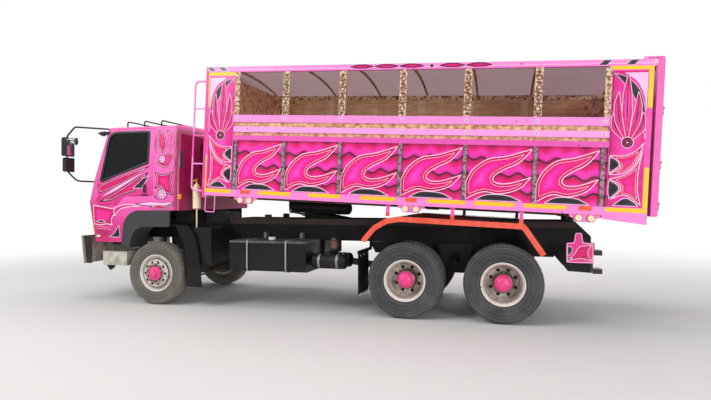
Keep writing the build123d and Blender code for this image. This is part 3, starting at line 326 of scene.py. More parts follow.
def board_paint(shade):
    """Brown weathered planks with paler patches behind the posts."""
    u, v = shade.bed_u(), shade.bed_v()
    seam = shade.span(shade.off(shade.math("FRACT", shade.math("DIVIDE", v, 0.1)), 0.5), 0.46, 0.5)
    grain = shade.noise(22.0, 9.0, stretch=(0.15, 1, 2.4))
    plank = shade.mix(shade.span(grain, 0.35, 0.68), rgb(246, 206, 162), rgb(220, 172, 130))
    plank = shade.mix(shade.times(seam, 0.6), plank, rgb(150, 104, 78))
    patch = shade.most(*(shade.span(shade.off(u, post + 0.10), 0.075, 0.05) for post in POST_US[1:-1]))
    blotch = shade.span(shade.noise(9.0, 8.0), 0.38, 0.55)
    return shade.mix(shade.times(patch, blotch), plank, rgb(250, 228, 192))


CAB_PLANES = (
    # outer planes of the roof: a point on it as (station, |y|, z) and its inward normal
    ((-1.500, 0, 2.600), (0.4472, 0, -0.8944)), ((-0.960, 0, 2.870), (0.2772, 0, -0.9608)),
    ((-0.700, 0, 2.945), (0.0366, 0, -0.9993)), ((0.300, 0, 2.915), (-0.3162, 0, -0.9487)),
    ((0.600, 0, 2.560), (-0.7639, 0, -0.6453)), ((0, 1.060, 2.890), (0, -0.3570, -0.9340)),
    ((0, 1.060, 2.890), (0, -0.1425, -0.9898)), ((0, 0.560, 2.962), (0, -0.0232, -0.9997)),
)


def cab_paint(shade):
    """Bright pink sides, a rear wall in dark crimson that is partly its paint and partly painted shade, and dark inner
    faces.
    """
    x, z = shade.station(), shade.axes()["Z"]
    # the rear wall's dark crimson is partly the paint and partly painted shade
    color = shade.mix(shade.span(x, CAB_REAR - 0.14, CAB_REAR - 0.03), rgb(238, 96, 176), rgb(156, 18, 76))
    color = shade.mix(shade.span(z, 1.68, 1.20), color, rgb(220, 50, 138))
    low_front = shade.times(shade.span(x, -0.62, -1.02), shade.span(z, 1.86, 1.50), 0.75)
    color = shade.mix(low_front, color, rgb(192, 14, 96))
    depths = [
        shade.plus(*(shade.times(shade.less(value, start), share)
                     for value, start, share in zip((x, shade.out(), z), point, normal)))
        for point, normal in CAB_PLANES
    ]
    over = shade.less(z, CAB_WAIST[1])
    front = shade.most(shade.times(over, CAB_LEAN), shade.times(over, CAB_TUCK))
    from_front = shade.less(shade.less(x, CAB_WAIST[0]), front)
    for along, radius in ((from_front, CAB_FRONT_R), (shade.less(CAB_REAR, x), CAB_REAR_R)):
        past = [shade.most(shade.less(radius, depth), 0.0) for depth in (along, shade.inside_cab_side())]
        depths.append(shade.less(radius, shade.length(*past)))
    least = reduce(lambda a, b: shade.math("MINIMUM", a, b), depths)
    return shade.mix(shade.span(least, 0.030, 0.034), color, rgb(44, 42, 46))


def door_paint(shade):
    """Pink outside with a black handle, and grey trim inside."""
    x, z = shade.station(), shade.axes()["Z"]
    color = shade.mix(shade.span(z, 1.62, 2.35), rgb(214, 42, 130), rgb(236, 94, 174))
    handle = shade.times(shade.span(shade.out(), CAB_HALF + 0.001, CAB_HALF + 0.002),
                         shade.span(x, -0.240, -0.236), shade.span(x, -0.110, -0.114))
    color = shade.mix(handle, color, rgb(22, 22, 24))
    return shade.mix(shade.span(shade.inside_cab_side(), 0.036, 0.040), color, rgb(66, 64, 68))


def bumper_paint(shade):
    """Silver bar and step boxes on black carriers."""
    x, z = shade.station(), shade.axes()["Z"]
    slant = shade.times(shade.less(BUMPER_TOP, z), math.tan(BUMPER_SLOPE))
    bar_depth = shade.less(shade.less(x, BUMPER_FACE), slant)
    behind = shade.times(shade.span(bar_depth, 0.0095, 0.0105), shade.span(x, -1.190, -1.192))
    silver = shade.cloud(10.0, 8.0, 0.4, 0.7, rgb(214, 210, 198), rgb(176, 168, 154))
    return shade.mix(behind, silver, rgb(20, 20, 22))


def coupling_paint(shade):
    """Pink side plates on a black beam."""
    return shade.mix(shade.span(shade.out(), 0.896, 0.898), rgb(24, 22, 24), PLATE_PINK)


def guard_paint(shade):
    """Orange-red guards, hung from pink brackets, with painted shade, near black, on their inner parts."""
    color = shade.cloud(8.0, 7.0, 0.35, 0.7, rgb(240, 98, 74), rgb(222, 70, 48))
    color = shade.mix(shade.span(shade.bed_v(), -0.165, -0.155), color, rgb(240, 92, 186))
    # painted shade: the guard near black inward of its outer lip
    return shade.mix(shade.span(shade.out(), 1.160, 1.150), color, rgb(30, 24, 24))


def tank_paint(shade):
    """Black tank with a painted highlight along its upper edge, silver straps and a cream cap."""
    z = shade.axes()["Z"]
    # painted highlight: the tank's upper edge made lighter, broken up by noise
    highlight_break = shade.span(shade.noise(5.0, 8.0), 0.3, 0.7, 0.3, 0.9)
    edge = shade.times(shade.span(z, TANK_TOP - 0.045, TANK_TOP - 0.012), highlight_break)
    color = shade.mix(edge, rgb(19, 20, 23), rgb(104, 104, 106))
    for strap in TANK_STRAPS:
        near = shade.span(shade.off(shade.station(), strap), 0.011, 0.009)
        color = shade.mix(near, color, rgb(164, 164, 162))
    cap = shade.times(shade.span(z, TANK_TOP + 0.012, TANK_TOP + 0.014), shade.span(shade.out(), 0.90, 0.92))
    return shade.mix(cap, color, rgb(214, 206, 190))


def lamp_paint(shade):
    """Orange marker lamps on the band, cream round ones under it."""
    return shade.mix(shade.span(shade.bed_v(), -0.03, -0.01), rgb(246, 226, 180), ORANGE)


def art_paint(*stops, reach=0.12):
    """Colours that run from a painted shape's edge to its middle."""
    def paint(shade):
        return shade.ramp(shade.math("DIVIDE", shade.attribute("rim"), reach), *stops)
    return paint


def rim_paint(centre_x, centre_z, hub_y, drum_y):
    """Silver-cream rim with a painted shadow round the hub, a painted highlight on the outer lip, a pink hub and a
    dark drum behind it.
    """
    def paint(shade):
        x, _, z = shade.axes()
        r = shade.length(shade.less(x, centre_x), shade.less(z, centre_z))
        out = shade.out()
        steel = shade.cloud(22.0, 8.0, 0.4, 0.7, rgb(212, 202, 192), rgb(168, 152, 140))
        # painted shadow: the disc made darker round the hub
        near = shade.times(shade.span(r, HUB_R + 0.040, HUB_R + 0.012), 0.85)
        # painted highlight: the outer lip made lighter
        lip_highlight = shade.times(shade.span(r, 0.262, 0.268), 0.7)
        steel = shade.mix(lip_highlight, shade.mix(near, steel, rgb(74, 48, 46)), rgb(240, 236, 228))
        hub = shade.times(shade.span(r, HUB_R + 0.001, HUB_R - 0.001), shade.span(out, hub_y, hub_y + 0.002))
        drum = shade.times(shade.span(out, drum_y + 0.002, drum_y), shade.span(r, 0.245, 0.235))
        return shade.mix(drum, shade.mix(hub, steel, HUB_PINK), rgb(52, 42, 36))
    return paint


def tyre_paint(centre_x, radius, rubber, dust_and_highlight):
    """Rubber with painted highlights on the sidewall's raised rings and a dusty tread."""
    def paint(shade):
        x, _, z = shade.axes()
        r = shade.length(shade.less(x, centre_x), shade.less(z, radius))
        uneven = shade.span(shade.noise(7.0, 8.0), 0.3, 0.7, 0.4, 1.0)
        wall = radius - SHOULDER_DROP - BEAD_R
        color = rubber
        # painted highlight: the sidewall's raised rings made lighter, in the dust colour
        for share, half in ((0.14, 0.008), (0.43, 0.006), (0.69, 0.006), (0.86, 0.012)):
            ring = shade.span(shade.off(r, BEAD_R + wall * share), half, half * 0.4)
            color = shade.mix(shade.times(ring, 0.5, uneven), color, dust_and_highlight)
        tread = shade.times(shade.span(r, radius - 0.030, radius - 0.012), uneven, 0.8)
        return shade.mix(tread, color, dust_and_highlight)
    return paint


def glass_material(name, tint, clear):
    """Tinted glass with smears; clear is the share of light that it lets through."""
    shade = Shade(name)
    smear = shade.span(shade.noise(5.0, 6.0), 0.35, 0.8, 0.03, 0.16)
    shade.put(Base_Color=tint, Transmission_Weight=clear, IOR=1.45, Roughness=smear)
    return shade.material


def canvas_material():
    """Grey-mauve canvas that lets some light through."""
    material = finish("canvas", rgb(186, 172, 176), rough=0.92, dust=0.1, dust_z=4.0, bump=0.35, grain=26, spread=0.2)
    tree = material.node_tree
    through = tree.nodes.new("ShaderNodeBsdfTranslucent")
    through.inputs["Color"].default_value = rgb(220, 202, 204)
    share = tree.nodes.new("ShaderNodeMixShader")
    share.inputs[0].default_value = 0.60
    tree.links.new(tree.nodes["Principled BSDF"].outputs[0], share.inputs[1])
    tree.links.new(through.outputs[0], share.inputs[2])
    tree.links.new(share.outputs[0], tree.nodes["Material Output"].inputs["Surface"])
    return material


ART = dict(rough=0.25, dust=0.03, coat=0.35, bump=0.0, spread=0.04)
LOOKS = {
    "chassis": dict(color=rgb(20, 20, 23), rough=0.5, dust=0.07, rust=0.06, bump=0.1, gloss=0.25),
    "tank": dict(color=rgb(20, 21, 24), rough=0.36, dust=0.07, dust_z=1.1, spread=0.1, paint=tank_paint, gloss=0.25),
    "spring": dict(color=rgb(36, 33, 32), rough=0.6, dust_z=1.1, rust=0.15),
    "axle": dict(color=rgb(44, 38, 34), rough=0.65, dust=0.45, dust_z=1.0, rust=0.2, bump=0.25),
    "engine": dict(color=rgb(48, 47, 48), rough=0.6, dust_z=1.4, bump=0.25),
    "subframe": dict(color=rgb(60, 44, 40), rough=0.6, dust=0.10, dust_z=1.6, rust=0.12),
    "bumper": dict(color=rgb(166, 162, 152), rough=0.5, metal=0.35, rust=0.08, bump=0.15, paint=bumper_paint),
    "cream": dict(color=rgb(240, 222, 184), rough=0.35, dust=0.12, dust_z=2.2, rust=0.06),
    "coupling": dict(color=PLATE_PINK, dust=0.15, dust_z=1.1, rust=0.05, paint=coupling_paint),
    "hub_pink": dict(color=HUB_PINK, rough=0.35, dust=0.2, dust_z=1.0, rust=0.04, bump=0.05),
    "cab": dict(color=PINK, rough=0.34, dust=0.08, dust_z=2.0, coat=0.2, bump=0.02, spread=0.05, paint=cab_paint),
    "door": dict(color=PINK, rough=0.30, dust=0.08, dust_z=2.0, coat=0.3, bump=0.02, spread=0.06, paint=door_paint),
    "guard_black": dict(color=rgb(17, 18, 20), rough=0.5, dust=0.06, dust_z=1.0, bump=0.1, spread=0.1, gloss=0.2),
    "nut": dict(color=rgb(150, 138, 128), metal=0.4, dust=0.2, dust_z=1.0, rust=0.1),
    "plastic": dict(color=rgb(26, 26, 28), rough=0.45, dust=0.1, dust_z=1.4, bump=0.1, spread=0.1),
    "grey_plastic": dict(color=rgb(50, 54, 57), rough=0.55, dust=0.15, dust_z=1.4, bump=0.2, spread=0.1),
    "lens": dict(color=rgb(252, 234, 190), rough=0.18, dust=0.08, dust_z=2.0, bump=0.0, coat=0.4),
    "tail_lens": dict(color=rgb(186, 20, 24), rough=0.2, dust=0.2, dust_z=1.4, bump=0.0, coat=0.4),
    "side_lamp": dict(color=ORANGE, rough=0.2, dust=0.08, bump=0.0, coat=0.4, paint=lamp_paint),
    "seat": dict(color=rgb(70, 70, 76), rough=0.95, dust=0.1, bump=0.5, grain=40),
    "dash": dict(color=rgb(50, 50, 52), rough=0.7, dust=0.1, dust_z=2.4, bump=0.2, grain=30),
    "bay": dict(color=CRIMSON, rough=0.28, dust=0.04, dust_z=2.0, coat=0.35, bump=0.02, spread=0.05, paint=bay_paint),
    "headboard": dict(color=rgb(226, 70, 150), rough=0.35, dust=0.06, dust_z=2.0, paint=headboard_paint),
    "rail": dict(color=LIGHT_PINK, rough=0.33, dust=0.05, dust_z=2.0, rust=0.02, bump=0.03, spread=0.08,
                 paint=rail_paint),
    "post": dict(color=BEIGE, rough=0.6, dust=0.08, bump=0.3, spread=0.15, grain=12, paint=post_paint),
    "floor": dict(color=rgb(112, 86, 70), rough=0.6, metal=0.3, dust=0.15, rust=0.4, bump=0.2),
    "wood": dict(color=rgb(128, 92, 66), rough=0.8, dust=0.05, dust_z=2.0, bump=0.4, spread=0.2, paint=board_paint),
    "guard": dict(color=rgb(238, 92, 70), dust=0.08, dust_z=1.4, rust=0.03, bump=0.05, paint=guard_paint),
    "bow": dict(color=BEIGE, rough=0.7, dust=0.1, rust=0.35, bump=0.2),
    "chrome": dict(color=rgb(200, 200, 200), rough=0.2, metal=0.95, dust=0.15, bump=0.02),
    "hoist": dict(color=rgb(24, 23, 26), rough=0.5, dust=0.08, dust_z=1.5, rust=0.05),
    "gate": dict(color=rgb(232, 94, 178), rough=0.32, dust=0.06, dust_z=2.0, coat=0.2, bump=0.03, spread=0.08),
    "brass": dict(color=rgb(200, 150, 60), rough=0.35, metal=0.9, dust=0.05, bump=0.05),
    "bolt": dict(color=rgb(150, 140, 132), rough=0.45, metal=0.5, dust=0.2, rust=0.12, bump=0.1),
    "plate": dict(color=rgb(228, 228, 222), dust=0.2, dust_z=1.5, bump=0.05),
    "canister": dict(color=rgb(108, 74, 60), rough=0.55, dust_z=1.6, rust=0.2),
    "yellow": dict(color=YELLOW, rough=0.38, dust=0.06, bump=0.03, spread=0.08),
    "white_line": dict(color=rgb(255, 214, 240), rough=0.3, dust=0.03, bump=0.0, spread=0.03),
    "dark_line": dict(color=rgb(40, 26, 58), rough=0.3, dust=0.04, bump=0.0, spread=0.05),
    "black_art": dict(ART, color=NEAR_BLACK, coat=0.3, spread=0.12, paint=art_paint(
        (0.0, rgb(112, 100, 116)), (0.3, rgb(44, 42, 48)), (0.8, rgb(16, 16, 18)), reach=0.05)),
    "flame": dict(ART, color=CRIMSON, paint=art_paint(
        (0.0, rgb(196, 0, 76)), (0.30, rgb(228, 4, 112)), (0.65, rgb(244, 34, 166)), (1.0, rgb(252, 76, 206)),
        reach=0.16)),
    "leaf": dict(ART, color=PINK, paint=art_paint(
        (0.0, rgb(186, 0, 78)), (0.3, rgb(226, 12, 118)), (0.7, rgb(244, 58, 166)), (1.0, rgb(250, 110, 200)),
        reach=0.060)),
    "corner": dict(ART, color=PINK, paint=art_paint(
        (0.0, rgb(206, 14, 112)), (0.5, rgb(232, 44, 156)), (1.0, rgb(244, 76, 184)), reach=0.2)),
    "cab_art": dict(ART, color=CRIMSON, paint=art_paint(
        (0.0, rgb(168, 0, 66)), (0.45, rgb(208, 4, 96)), (1.0, rgb(238, 40, 146)), reach=0.08)),
    "pale_art": dict(ART, color=PALE_PINK, coat=0.3),
}
materials = {name: finish(name, **look) for name, look in LOOKS.items()}
materials["glass"] = glass_material("glass", rgb(12, 14, 16), 0.25)
materials["glass_clear"] = glass_material("glass_clear", rgb(236, 238, 240), 0.6)
materials["canvas"] = canvas_material()

NODES_BY_FINISH = {
    "chassis": "ladder_frame air_tanks side_boxes",
    "subframe": "sub_frame",
    "axle": "front_axle_beam rear_axles drive_line muffler knuckle_left knuckle_right tie_rod",
    "spring": "leaf_springs",
    "engine": "engine_block",
    "tank": "fuel_tank",
    "cream": "upright_bottle",
    "tail_lens": "tail_lamps",
    "guard_black": "mudguards",
    "bumper": "front_bumper",
    "coupling": "tow_coupling",
    "cab": "cab_shell",
    "glass": "cab_glass door_glass_left door_glass_right",
    "plastic": "front_panel mirrors roof_bars",
    "lens": "headlamps",
    "grey_plastic": "wheel_arches",
    "seat": "seats",
    "dash": "dashboard steering_wheel",
    "door": "door_left door_right",
    "floor": "bed_floor",
    "headboard": "headboard",
    "bay": "side_panels",
    "rail": "side_rails ladder",
    "post": "side_posts",
    "wood": "side_boards",
    "side_lamp": "side_lamps",
    "guard": "bed_guards",
    "bow": "cover_bows",
    "canvas": "load_cover",
    "gate": "tailgate",
    "hoist": "hoist_barrel",
    "chrome": "hoist_stage hoist_ram",
}


def dress(node, material):
    """Gives a CAD node its one material."""
    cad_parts[node].data.materials.clear()
    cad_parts[node].data.materials.append(material)


for word, nodes in NODES_BY_FINISH.items():
    for node in nodes.split():
        dress(node, materials[word])

WHEELS = (
    # place, station, tyre's radius, rubber, its dust and the painted highlight on its sidewall rings, how far out the
    # hub's face and the drum's face are
    ("front", 0.0, FRONT_TYRE_R, rgb(84, 81, 76), rgb(146, 138, 126), 1.196, 1.170),
    ("mid", MID_AXLE, REAR_TYRE_R, rgb(48, 51, 54), rgb(112, 110, 104), 0.940, 0.900),
    ("rear", REAR_AXLE, REAR_TYRE_R, rgb(48, 51, 54), rgb(112, 110, 104), 0.940, 0.900),
)
for place, station, radius, rubber, dust_and_highlight, hub_y, drum_y in WHEELS:
    word = place + "_rubber"
    materials[word] = finish(word, rubber, rough=0.8, spread=0.2, dust=0.35, dust_z=1.2, bump=0.3, grain=14,
                             dust_color=dust_and_highlight, paint=tyre_paint(AXLE_X + station, radius, rubber, dust_and_highlight))
    steel = finish(place + "_wheel", rgb(206, 196, 182), metal=0.1, dust=0.12, dust_z=1.2, rust=0.02, spread=0.10,
                   paint=rim_paint(AXLE_X + station, radius, hub_y, drum_y))
    for side, word in SIDES:
        dress("front_rim_" + word if place == "front" else place + "_rims_" + word, steel)


# Meshes


def skin(rings, count, looped=True, closed=True):
    """Quads between rings of points; looped joins the last ring to the first, closed joins each ring's ends."""
    faces = []
    for n in range(rings if looped else rings - 1):
        m = (n + 1) % rings
        for k in range(count if closed else count - 1):
            j = (k + 1) % count
            faces.append((n * count + k, n * count + j, m * count + j, m * count + k))
    return faces


def linked(name, data):
    """A new object in the scene's collection."""
    made = bpy.data.objects.new(name, data)
    bpy.context.collection.objects.link(made)
    return made


def at(x, y, z):
    """A shift to a station, a side and a height."""
    return Matrix.Translation((AXLE_X + x, y, z))


def mirrored(side):
    """Leaves the right side (1) as it is and mirrors the left one (-1)."""
    return Matrix.Diagonal((1, side, 1, 1))


def around(count, start=0.0):
    """Sine and cosine of even steps round a circle."""
    turns = [2 * math.pi * (n + start) / count for n in range(count)]
    return [(math.sin(a), math.cos(a)) for a in turns]


class Batch:
    """Several closed forms gathered into one mesh, with a float on each point for the paint."""

    def __init__(self):
        self.verts = []
        self.faces = []
        self.rim = []

    def add(self, verts, faces, rim=None):
        start = len(self.verts)
        self.verts.extend(tuple(v) for v in verts)
        self.faces.extend([tuple(start + n for n in face) for face in faces])
        self.rim.extend(rim if rim is not None else [0.0] * len(verts))

    def place(self, form, *matrices):
        """Adds (verts, faces) at each of the matrices."""
        verts, faces = form
        for matrix in matrices:
            self.add([matrix @ Vector(v) for v in verts], faces)

    def block(self, x, y, z, ease=0.004):
        """An eased box from (from, to) stations, sides and heights."""
        low = [min(pair) for pair in (x, y, z)]
        high = [max(pair) for pair in (x, y, z)]
        form = eased_box([b - a for a, b in zip(low, high)], ease)
        self.place(form, at(*((a + b) / 2 for a, b in zip(low, high))))

    def piece(self, name, material, body, slot=None, angle=35):
        mesh = bpy.data.meshes.new(name)
        mesh.from_pydata(self.verts, [], self.faces)
        work = bmesh.new()
        work.from_mesh(mesh)
        bmesh.ops.recalc_face_normals(work, faces=work.faces)
        work.to_mesh(mesh)
        work.free()
        mesh.polygons.foreach_set("use_smooth", [True] * len(mesh.polygons))
        mesh.set_sharp_from_angle(angle=math.radians(angle))
        if any(self.rim):
            layer = mesh.attributes.new("rim", "FLOAT", "POINT")
            layer.data.foreach_set("value", self.rim)
        mesh.materials.append(materials[material])
        made = linked(name, mesh)
        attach(made, body)
        return made


def lathe(profile, segments=32, closed=False):
    """A (y, r) profile turned about the Y axis; ends on the axis or closes on itself."""
    verts = [(r * s, y, r * c) for s, c in around(segments) for y, r in profile]
    count = len(profile)
    faces = skin(segments, count, closed=closed)
    if not closed:
        faces.append([n * count for n in range(segments)])
        faces.append([n * count + count - 1 for n in range(segments)][::-1])
    return verts, faces


def slab(points, low, high, bevel=0.0):
    """A flat outline (x, z) made solid along Y from low to high, its outer edge eased by bevel."""
    points = np.array(points)
    step = points - points.mean(axis=0)
    inner = points - step / np.linalg.norm(step, axis=1)[:, None] * bevel
    rings = [(points, low), (points, high - math.copysign(bevel, high - low)), (inner, high)]
    verts = [(x, y, z) for ring, y in rings for x, z in ring]
    count = len(points)
    ends = [list(range(count))[::-1], [2 * count + n for n in range(count)]]
    return verts, skin(len(rings), count, looped=False) + ends


def eased_box(size, bevel):
    """A box about the origin with every edge bevelled."""
    work = bmesh.new()
    bmesh.ops.create_cube(work, size=1.0, matrix=Matrix.Diagonal((*size, 1.0)))
    bmesh.ops.bevel(work, geom=work.edges, offset=bevel, segments=2, affect="EDGES", profile=0.5)
    verts = [tuple(v.co) for v in work.verts]
    faces = [[v.index for v in face.verts] for face in work.faces]
    work.free()
    return verts, faces


def tube(path, radius, sides=10):
    """A round tube along a list of points, closed at its ends."""
    points = [Vector(p) for p in path]
    verts = []
    up = Vector((0, 0, 1))
    for n, p in enumerate(points):
        ahead = (points[min(n + 1, len(points) - 1)] - points[max(n - 1, 0)]).normalized()
        across = ahead.cross(up)
        if across.length < 0.1:
            across = ahead.cross(Vector((1, 0, 0)))
        across.normalize()
        up = across.cross(ahead).normalized()
        verts.extend(p + across * radius * c + up * radius * s for s, c in around(sides))
    ends = [list(range(sides))[::-1], [(len(points) - 1) * sides + k for k in range(sides)]]
    return verts, skin(len(points), sides, looped=False) + ends


def smooth(points, steps=8):
    """Points along a smooth curve through the given ones."""
    rows = [np.array(p, float) for p in points]
    out = []
    for n in range(len(rows) - 1):
        a, b, c, d = (rows[min(max(n + k, 0), len(rows) - 1)] for k in (-1, 0, 1, 2))
        for k in range(steps):
            t = k / steps
            bend = (2 * a - 5 * b + 4 * c - d) * t * t + (3 * b - a - 3 * c + d) * t ** 3
            out.append(0.5 * (2 * b + (c - a) * t + bend))
    out.append(rows[-1])
    return out


def bed_point(u, y, v):
    """A point of the tipping bed: u ahead of its rear edge, v above its bottom rail."""
    sine, cosine = math.sin(BED_TILT), math.cos(BED_TILT)
    return (BED_X - u * cosine + v * sine, y, BED_Z + u * sine + v * cosine)


def bed_spot(u, y, v, side=1):
    """The same as a matrix, level with the bed, for the given side."""
    level = Matrix.Translation((BED_X, 0, BED_Z)) @ Matrix.Rotation(BED_TILT, 4, "Y")
    return mirrored(side) @ level @ Matrix.Translation((-u, y, v))


def cab_side(z):
    """Half width of the cab at a height, between its rounded corners."""
    return CAB_HALF - max(z - CAB_SHOULDER_Z, 0) * CAB_TAPER


def front_x(z):
    """Station of the cab's front face at a height."""
    over = z - CAB_WAIST[1]
    return CAB_WAIST[0] + over * (CAB_LEAN if over > 0 else CAB_TUCK)


def cab_half(x, z):
    """Half width of the cab's outer face at a station and height, with its rounded corners."""
    half = cab_side(z)
    front = front_x(z)
    if x < front + CAB_FRONT_R:
        chord = CAB_FRONT_R ** 2 - (front + CAB_FRONT_R - x) ** 2
        return half - CAB_FRONT_R + math.sqrt(max(chord, 0))
    if x > CAB_REAR - CAB_REAR_R:
        chord = CAB_REAR_R ** 2 - (x - CAB_REAR + CAB_REAR_R) ** 2
        return half - CAB_REAR_R + math.sqrt(max(chord, 0))
    return half


# Painted shapes


def on_bed(side, plane):
    """Puts (u, v, height above it) on a side panel that stands plane metres from the middle."""
    def place(u, v, height):
        return bed_point(u, side * (plane + height), v)
    return place


def on_cab(side):
    """Puts (station, z, height above it) on the cab's side."""
    def place(x, z, height):
        return (AXLE_X + x, side * (cab_half(x, z) + height), z)
    return place


def inside(points, ring):
    """Which of the points lie inside the closed ring."""
    x, y = points[:, 0], points[:, 1]
    result = np.zeros(len(points), bool)
    for (x0, y0), (x1, y1) in zip(ring, np.roll(ring, -1, axis=0)):
        crosses = (y0 > y) != (y1 > y)
        if y1 != y0:
            result ^= crosses & (x < (x1 - x0) * (y - y0) / (y1 - y0) + x0)
    return result


def edge_distance(points, ring):
    """How far each point is from the closed ring."""
    best = np.full(len(points), np.inf)
    for a, b in zip(ring, np.roll(ring, -1, axis=0)):
        step = b - a
        share = np.clip(((points - a) @ step) / max(step @ step, 1e-12), 0, 1)
        best = np.minimum(best, np.linalg.norm(points - a - share[:, None] * step, axis=1))
    return best


# Thickness of a coat, height of the first one above its panel, and rise from step to step.
PAINT_THICK = 0.00015
PAINT_BASE = 0.0010
PAINT_STEP = 0.00022


def normals(line, closed):
    """Unit normals to the left of a line of points."""
    ahead = np.roll(line, -1, axis=0) - np.roll(line, 1, axis=0) if closed else np.gradient(line, axis=0)
    ahead = ahead / np.maximum(np.linalg.norm(ahead, axis=1), 1e-9)[:, None]
    return np.stack([-ahead[:, 1], ahead[:, 0]], axis=1)


def fill(batch, ring, place, height, grid=0.03):
    """A painted patch with inner points, so that its colour can run from edge to middle."""
    ring = np.array(ring, float)
    low, high = ring.min(axis=0), ring.max(axis=0)
    xs = np.arange(low[0] + grid / 2, high[0], grid)
    ys = np.arange(low[1] + grid / 2, high[1], grid)
    inner = np.array([(x, y) for x in xs for y in ys]).reshape(-1, 2)
    inner = inner[inside(inner, ring)]
    inner = inner[edge_distance(inner, ring) > grid * 0.4]
    flat = np.vstack([ring, inner])
    made = delaunay_2d_cdt([Vector(p) for p in flat], [], [list(range(len(ring)))], 1, 1e-6)
    flat = np.array([tuple(p) for p in made[0]])
    top = [place(a, b, height) for a, b in flat]
    under = [place(a, b, height - PAINT_THICK) for a, b in ring]
    count, first = len(ring), len(top)
    faces = [tuple(f) for f in made[2]]
    for n in range(count):
        m = (n + 1) % count
        faces.append((n, m, first + m, first + n))
    faces.append([first + n for n in range(count)][::-1])
    batch.add(top + under, faces, list(edge_distance(flat, ring)) + [0.0] * count)


def stroke(batch, line, width, place, height, closed=False):
    """A painted line of varying width; width is one number or several spread along it."""
    line = np.array(line, float)
    count = len(line)
    widths = np.interp(np.linspace(0, 1, count), np.linspace(0, 1, np.size(width)), np.atleast_1d(width))
    across = normals(line, closed) * widths[:, None] / 2
    verts = []
    for p, step in zip(line, across):
        for shift, drop in ((1, 0), (-1, 0), (-1, PAINT_THICK), (1, PAINT_THICK)):
            a, b = p + shift * step
            verts.append(place(a, b, height - drop))
    faces = skin(count, 4, looped=closed)
    if not closed:
        last = 4 * (count - 1)
        faces += [(0, 3, 2, 1), (last, last + 1, last + 2, last + 3)]
    batch.add(verts, faces)


def leaf(spine, widths, steps=7):
    """Outline of a tapered leaf or flame along a smooth spine; pointed where its width is nought."""
    line = np.array(smooth(spine, steps))
    across_at = np.interp(np.linspace(0, 1, len(line)), np.linspace(0, 1, len(widths)), widths)
    half = normals(line, False) * across_at[:, None] / 2
    left, right = line + half, line - half
    if across_at[-1] < 1e-6:
        right = right[:-1]
    if across_at[0] < 1e-6:
        right = right[1:]
    return np.vstack([left, right[::-1]])


def closed_by(*runs, steps=9):
    """A closed outline from smooth runs of points, each of which goes on from the end of the one before."""
    before = (runs[-1], *runs[:-1])
    return np.vstack([smooth([last[-1], *run], steps)[:-1] for last, run in zip(before, runs)])


def inset(ring, depth):
    """The ring moved inward by a depth, without the points that would come out too near an edge."""
    x, y = ring[:, 0], ring[:, 1]
    area = np.sum(x * np.roll(y, -1) - y * np.roll(x, -1))
    inward = ring + normals(ring, True) * math.copysign(depth, area)
    return inward[(edge_distance(inward, ring) > depth * 0.96) & inside(inward, ring)]


def disc(centre, radius, count=20):
    """Outline of a round spot."""
    return np.array([(centre[0] + radius * c, centre[1] + radius * s) for s, c in around(count)])


def petals(centre, radius, count):
    """Leaf outlines set in a ring, for a rosette."""
    rings = []
    for s, c in around(count):
        out, side, middle = np.array((c, s)), np.array((-s, c)), np.array(centre)
        spine = [middle + out * radius * along + side * radius * across
                 for along, across in ((0.22, 0), (0.6, 0.08), (0.95, 0))]
        rings.append(leaf(spine, (0, radius * 0.26, 0), 4))
    return rings


class Canvas:
    """The painted shapes on one panel, sorted by finish into batches."""

    def __init__(self, place):
        self.place = place
        self.batches = {}

    def batch(self, finish_name):
        """The batch of one finish, started when first asked for."""
        return self.batches.setdefault(finish_name, Batch())

    def rise(self, step):
        """Height above the panel of a paint step; later shapes take higher steps."""
        return PAINT_BASE + PAINT_STEP * step

    def patch(self, finish_name, ring, step, line=None, line_width=0.006, grid=0.03):
        """A filled shape at a paint step above the panel, with an outline if one is named."""
        fill(self.batch(finish_name), ring, self.place, self.rise(step), grid)
        if line:
            self.line(line, ring, line_width, step + 0.6, closed=True)

    def line(self, finish_name, points, width, step, closed=False):
        stroke(self.batch(finish_name), points, width, self.place, self.rise(step), closed)

    def pieces(self, name, body, slot):
        """Makes one mesh of each finish."""
        for finish_name, batch in self.batches.items():
            batch.piece(name + "_" + finish_name, finish_name, body, slot, angle=60)


BAY_LOW = 0.070
BAY_HIGH = 0.808
PANEL_EDGE = 0.004
BAY_FLAME = (
    # runs of (share across from the front, share up), each from the end of the one before
    ((0.10, 0.56), (0.32, 0.76), (0.62, 0.83), (0.985, 0.965)),
    ((0.80, 0.72), (0.58, 0.585), (0.44, 0.47), (0.42, 0.37), (0.53, 0.32), (0.72, 0.35), (0.985, 0.46)),
    ((0.80, 0.235), (0.52, 0.135), (0.26, 0.16), (-0.01, 0.01)),
    ((-0.01, 0.30),),
)
BAY_MOUND = (
    ((0.30, 0.105), (0.48, 0.125), (0.68, 0.10), (0.86, 0.005)),
    ((0.14, 0.005),),
)


def bay_art(canvas, u_front, u_rear):
    """A flame with two tongues that stream rearward over a dark pool, inside one lower bay."""
    wide = u_front - u_rear
    tall = BAY_HIGH - BAY_LOW
    low = (u_rear + PANEL_EDGE, BAY_LOW)
    high = (u_front - PANEL_EDGE, BAY_HIGH)

    def ring_of(runs):
        placed = [[(u_front - s * wide, BAY_LOW + t * tall) for s, t in run] for run in runs]
        return np.clip(closed_by(*placed), low, high)

    flame = ring_of(BAY_FLAME)
    canvas.patch("flame", flame, 2, line="white_line", line_width=0.011, grid=0.026)
    canvas.line("white_line", inset(flame, 0.036), 0.005, 4, closed=True)
    canvas.patch("black_art", ring_of(BAY_MOUND), 6, line="white_line", line_width=0.008, grid=0.024)


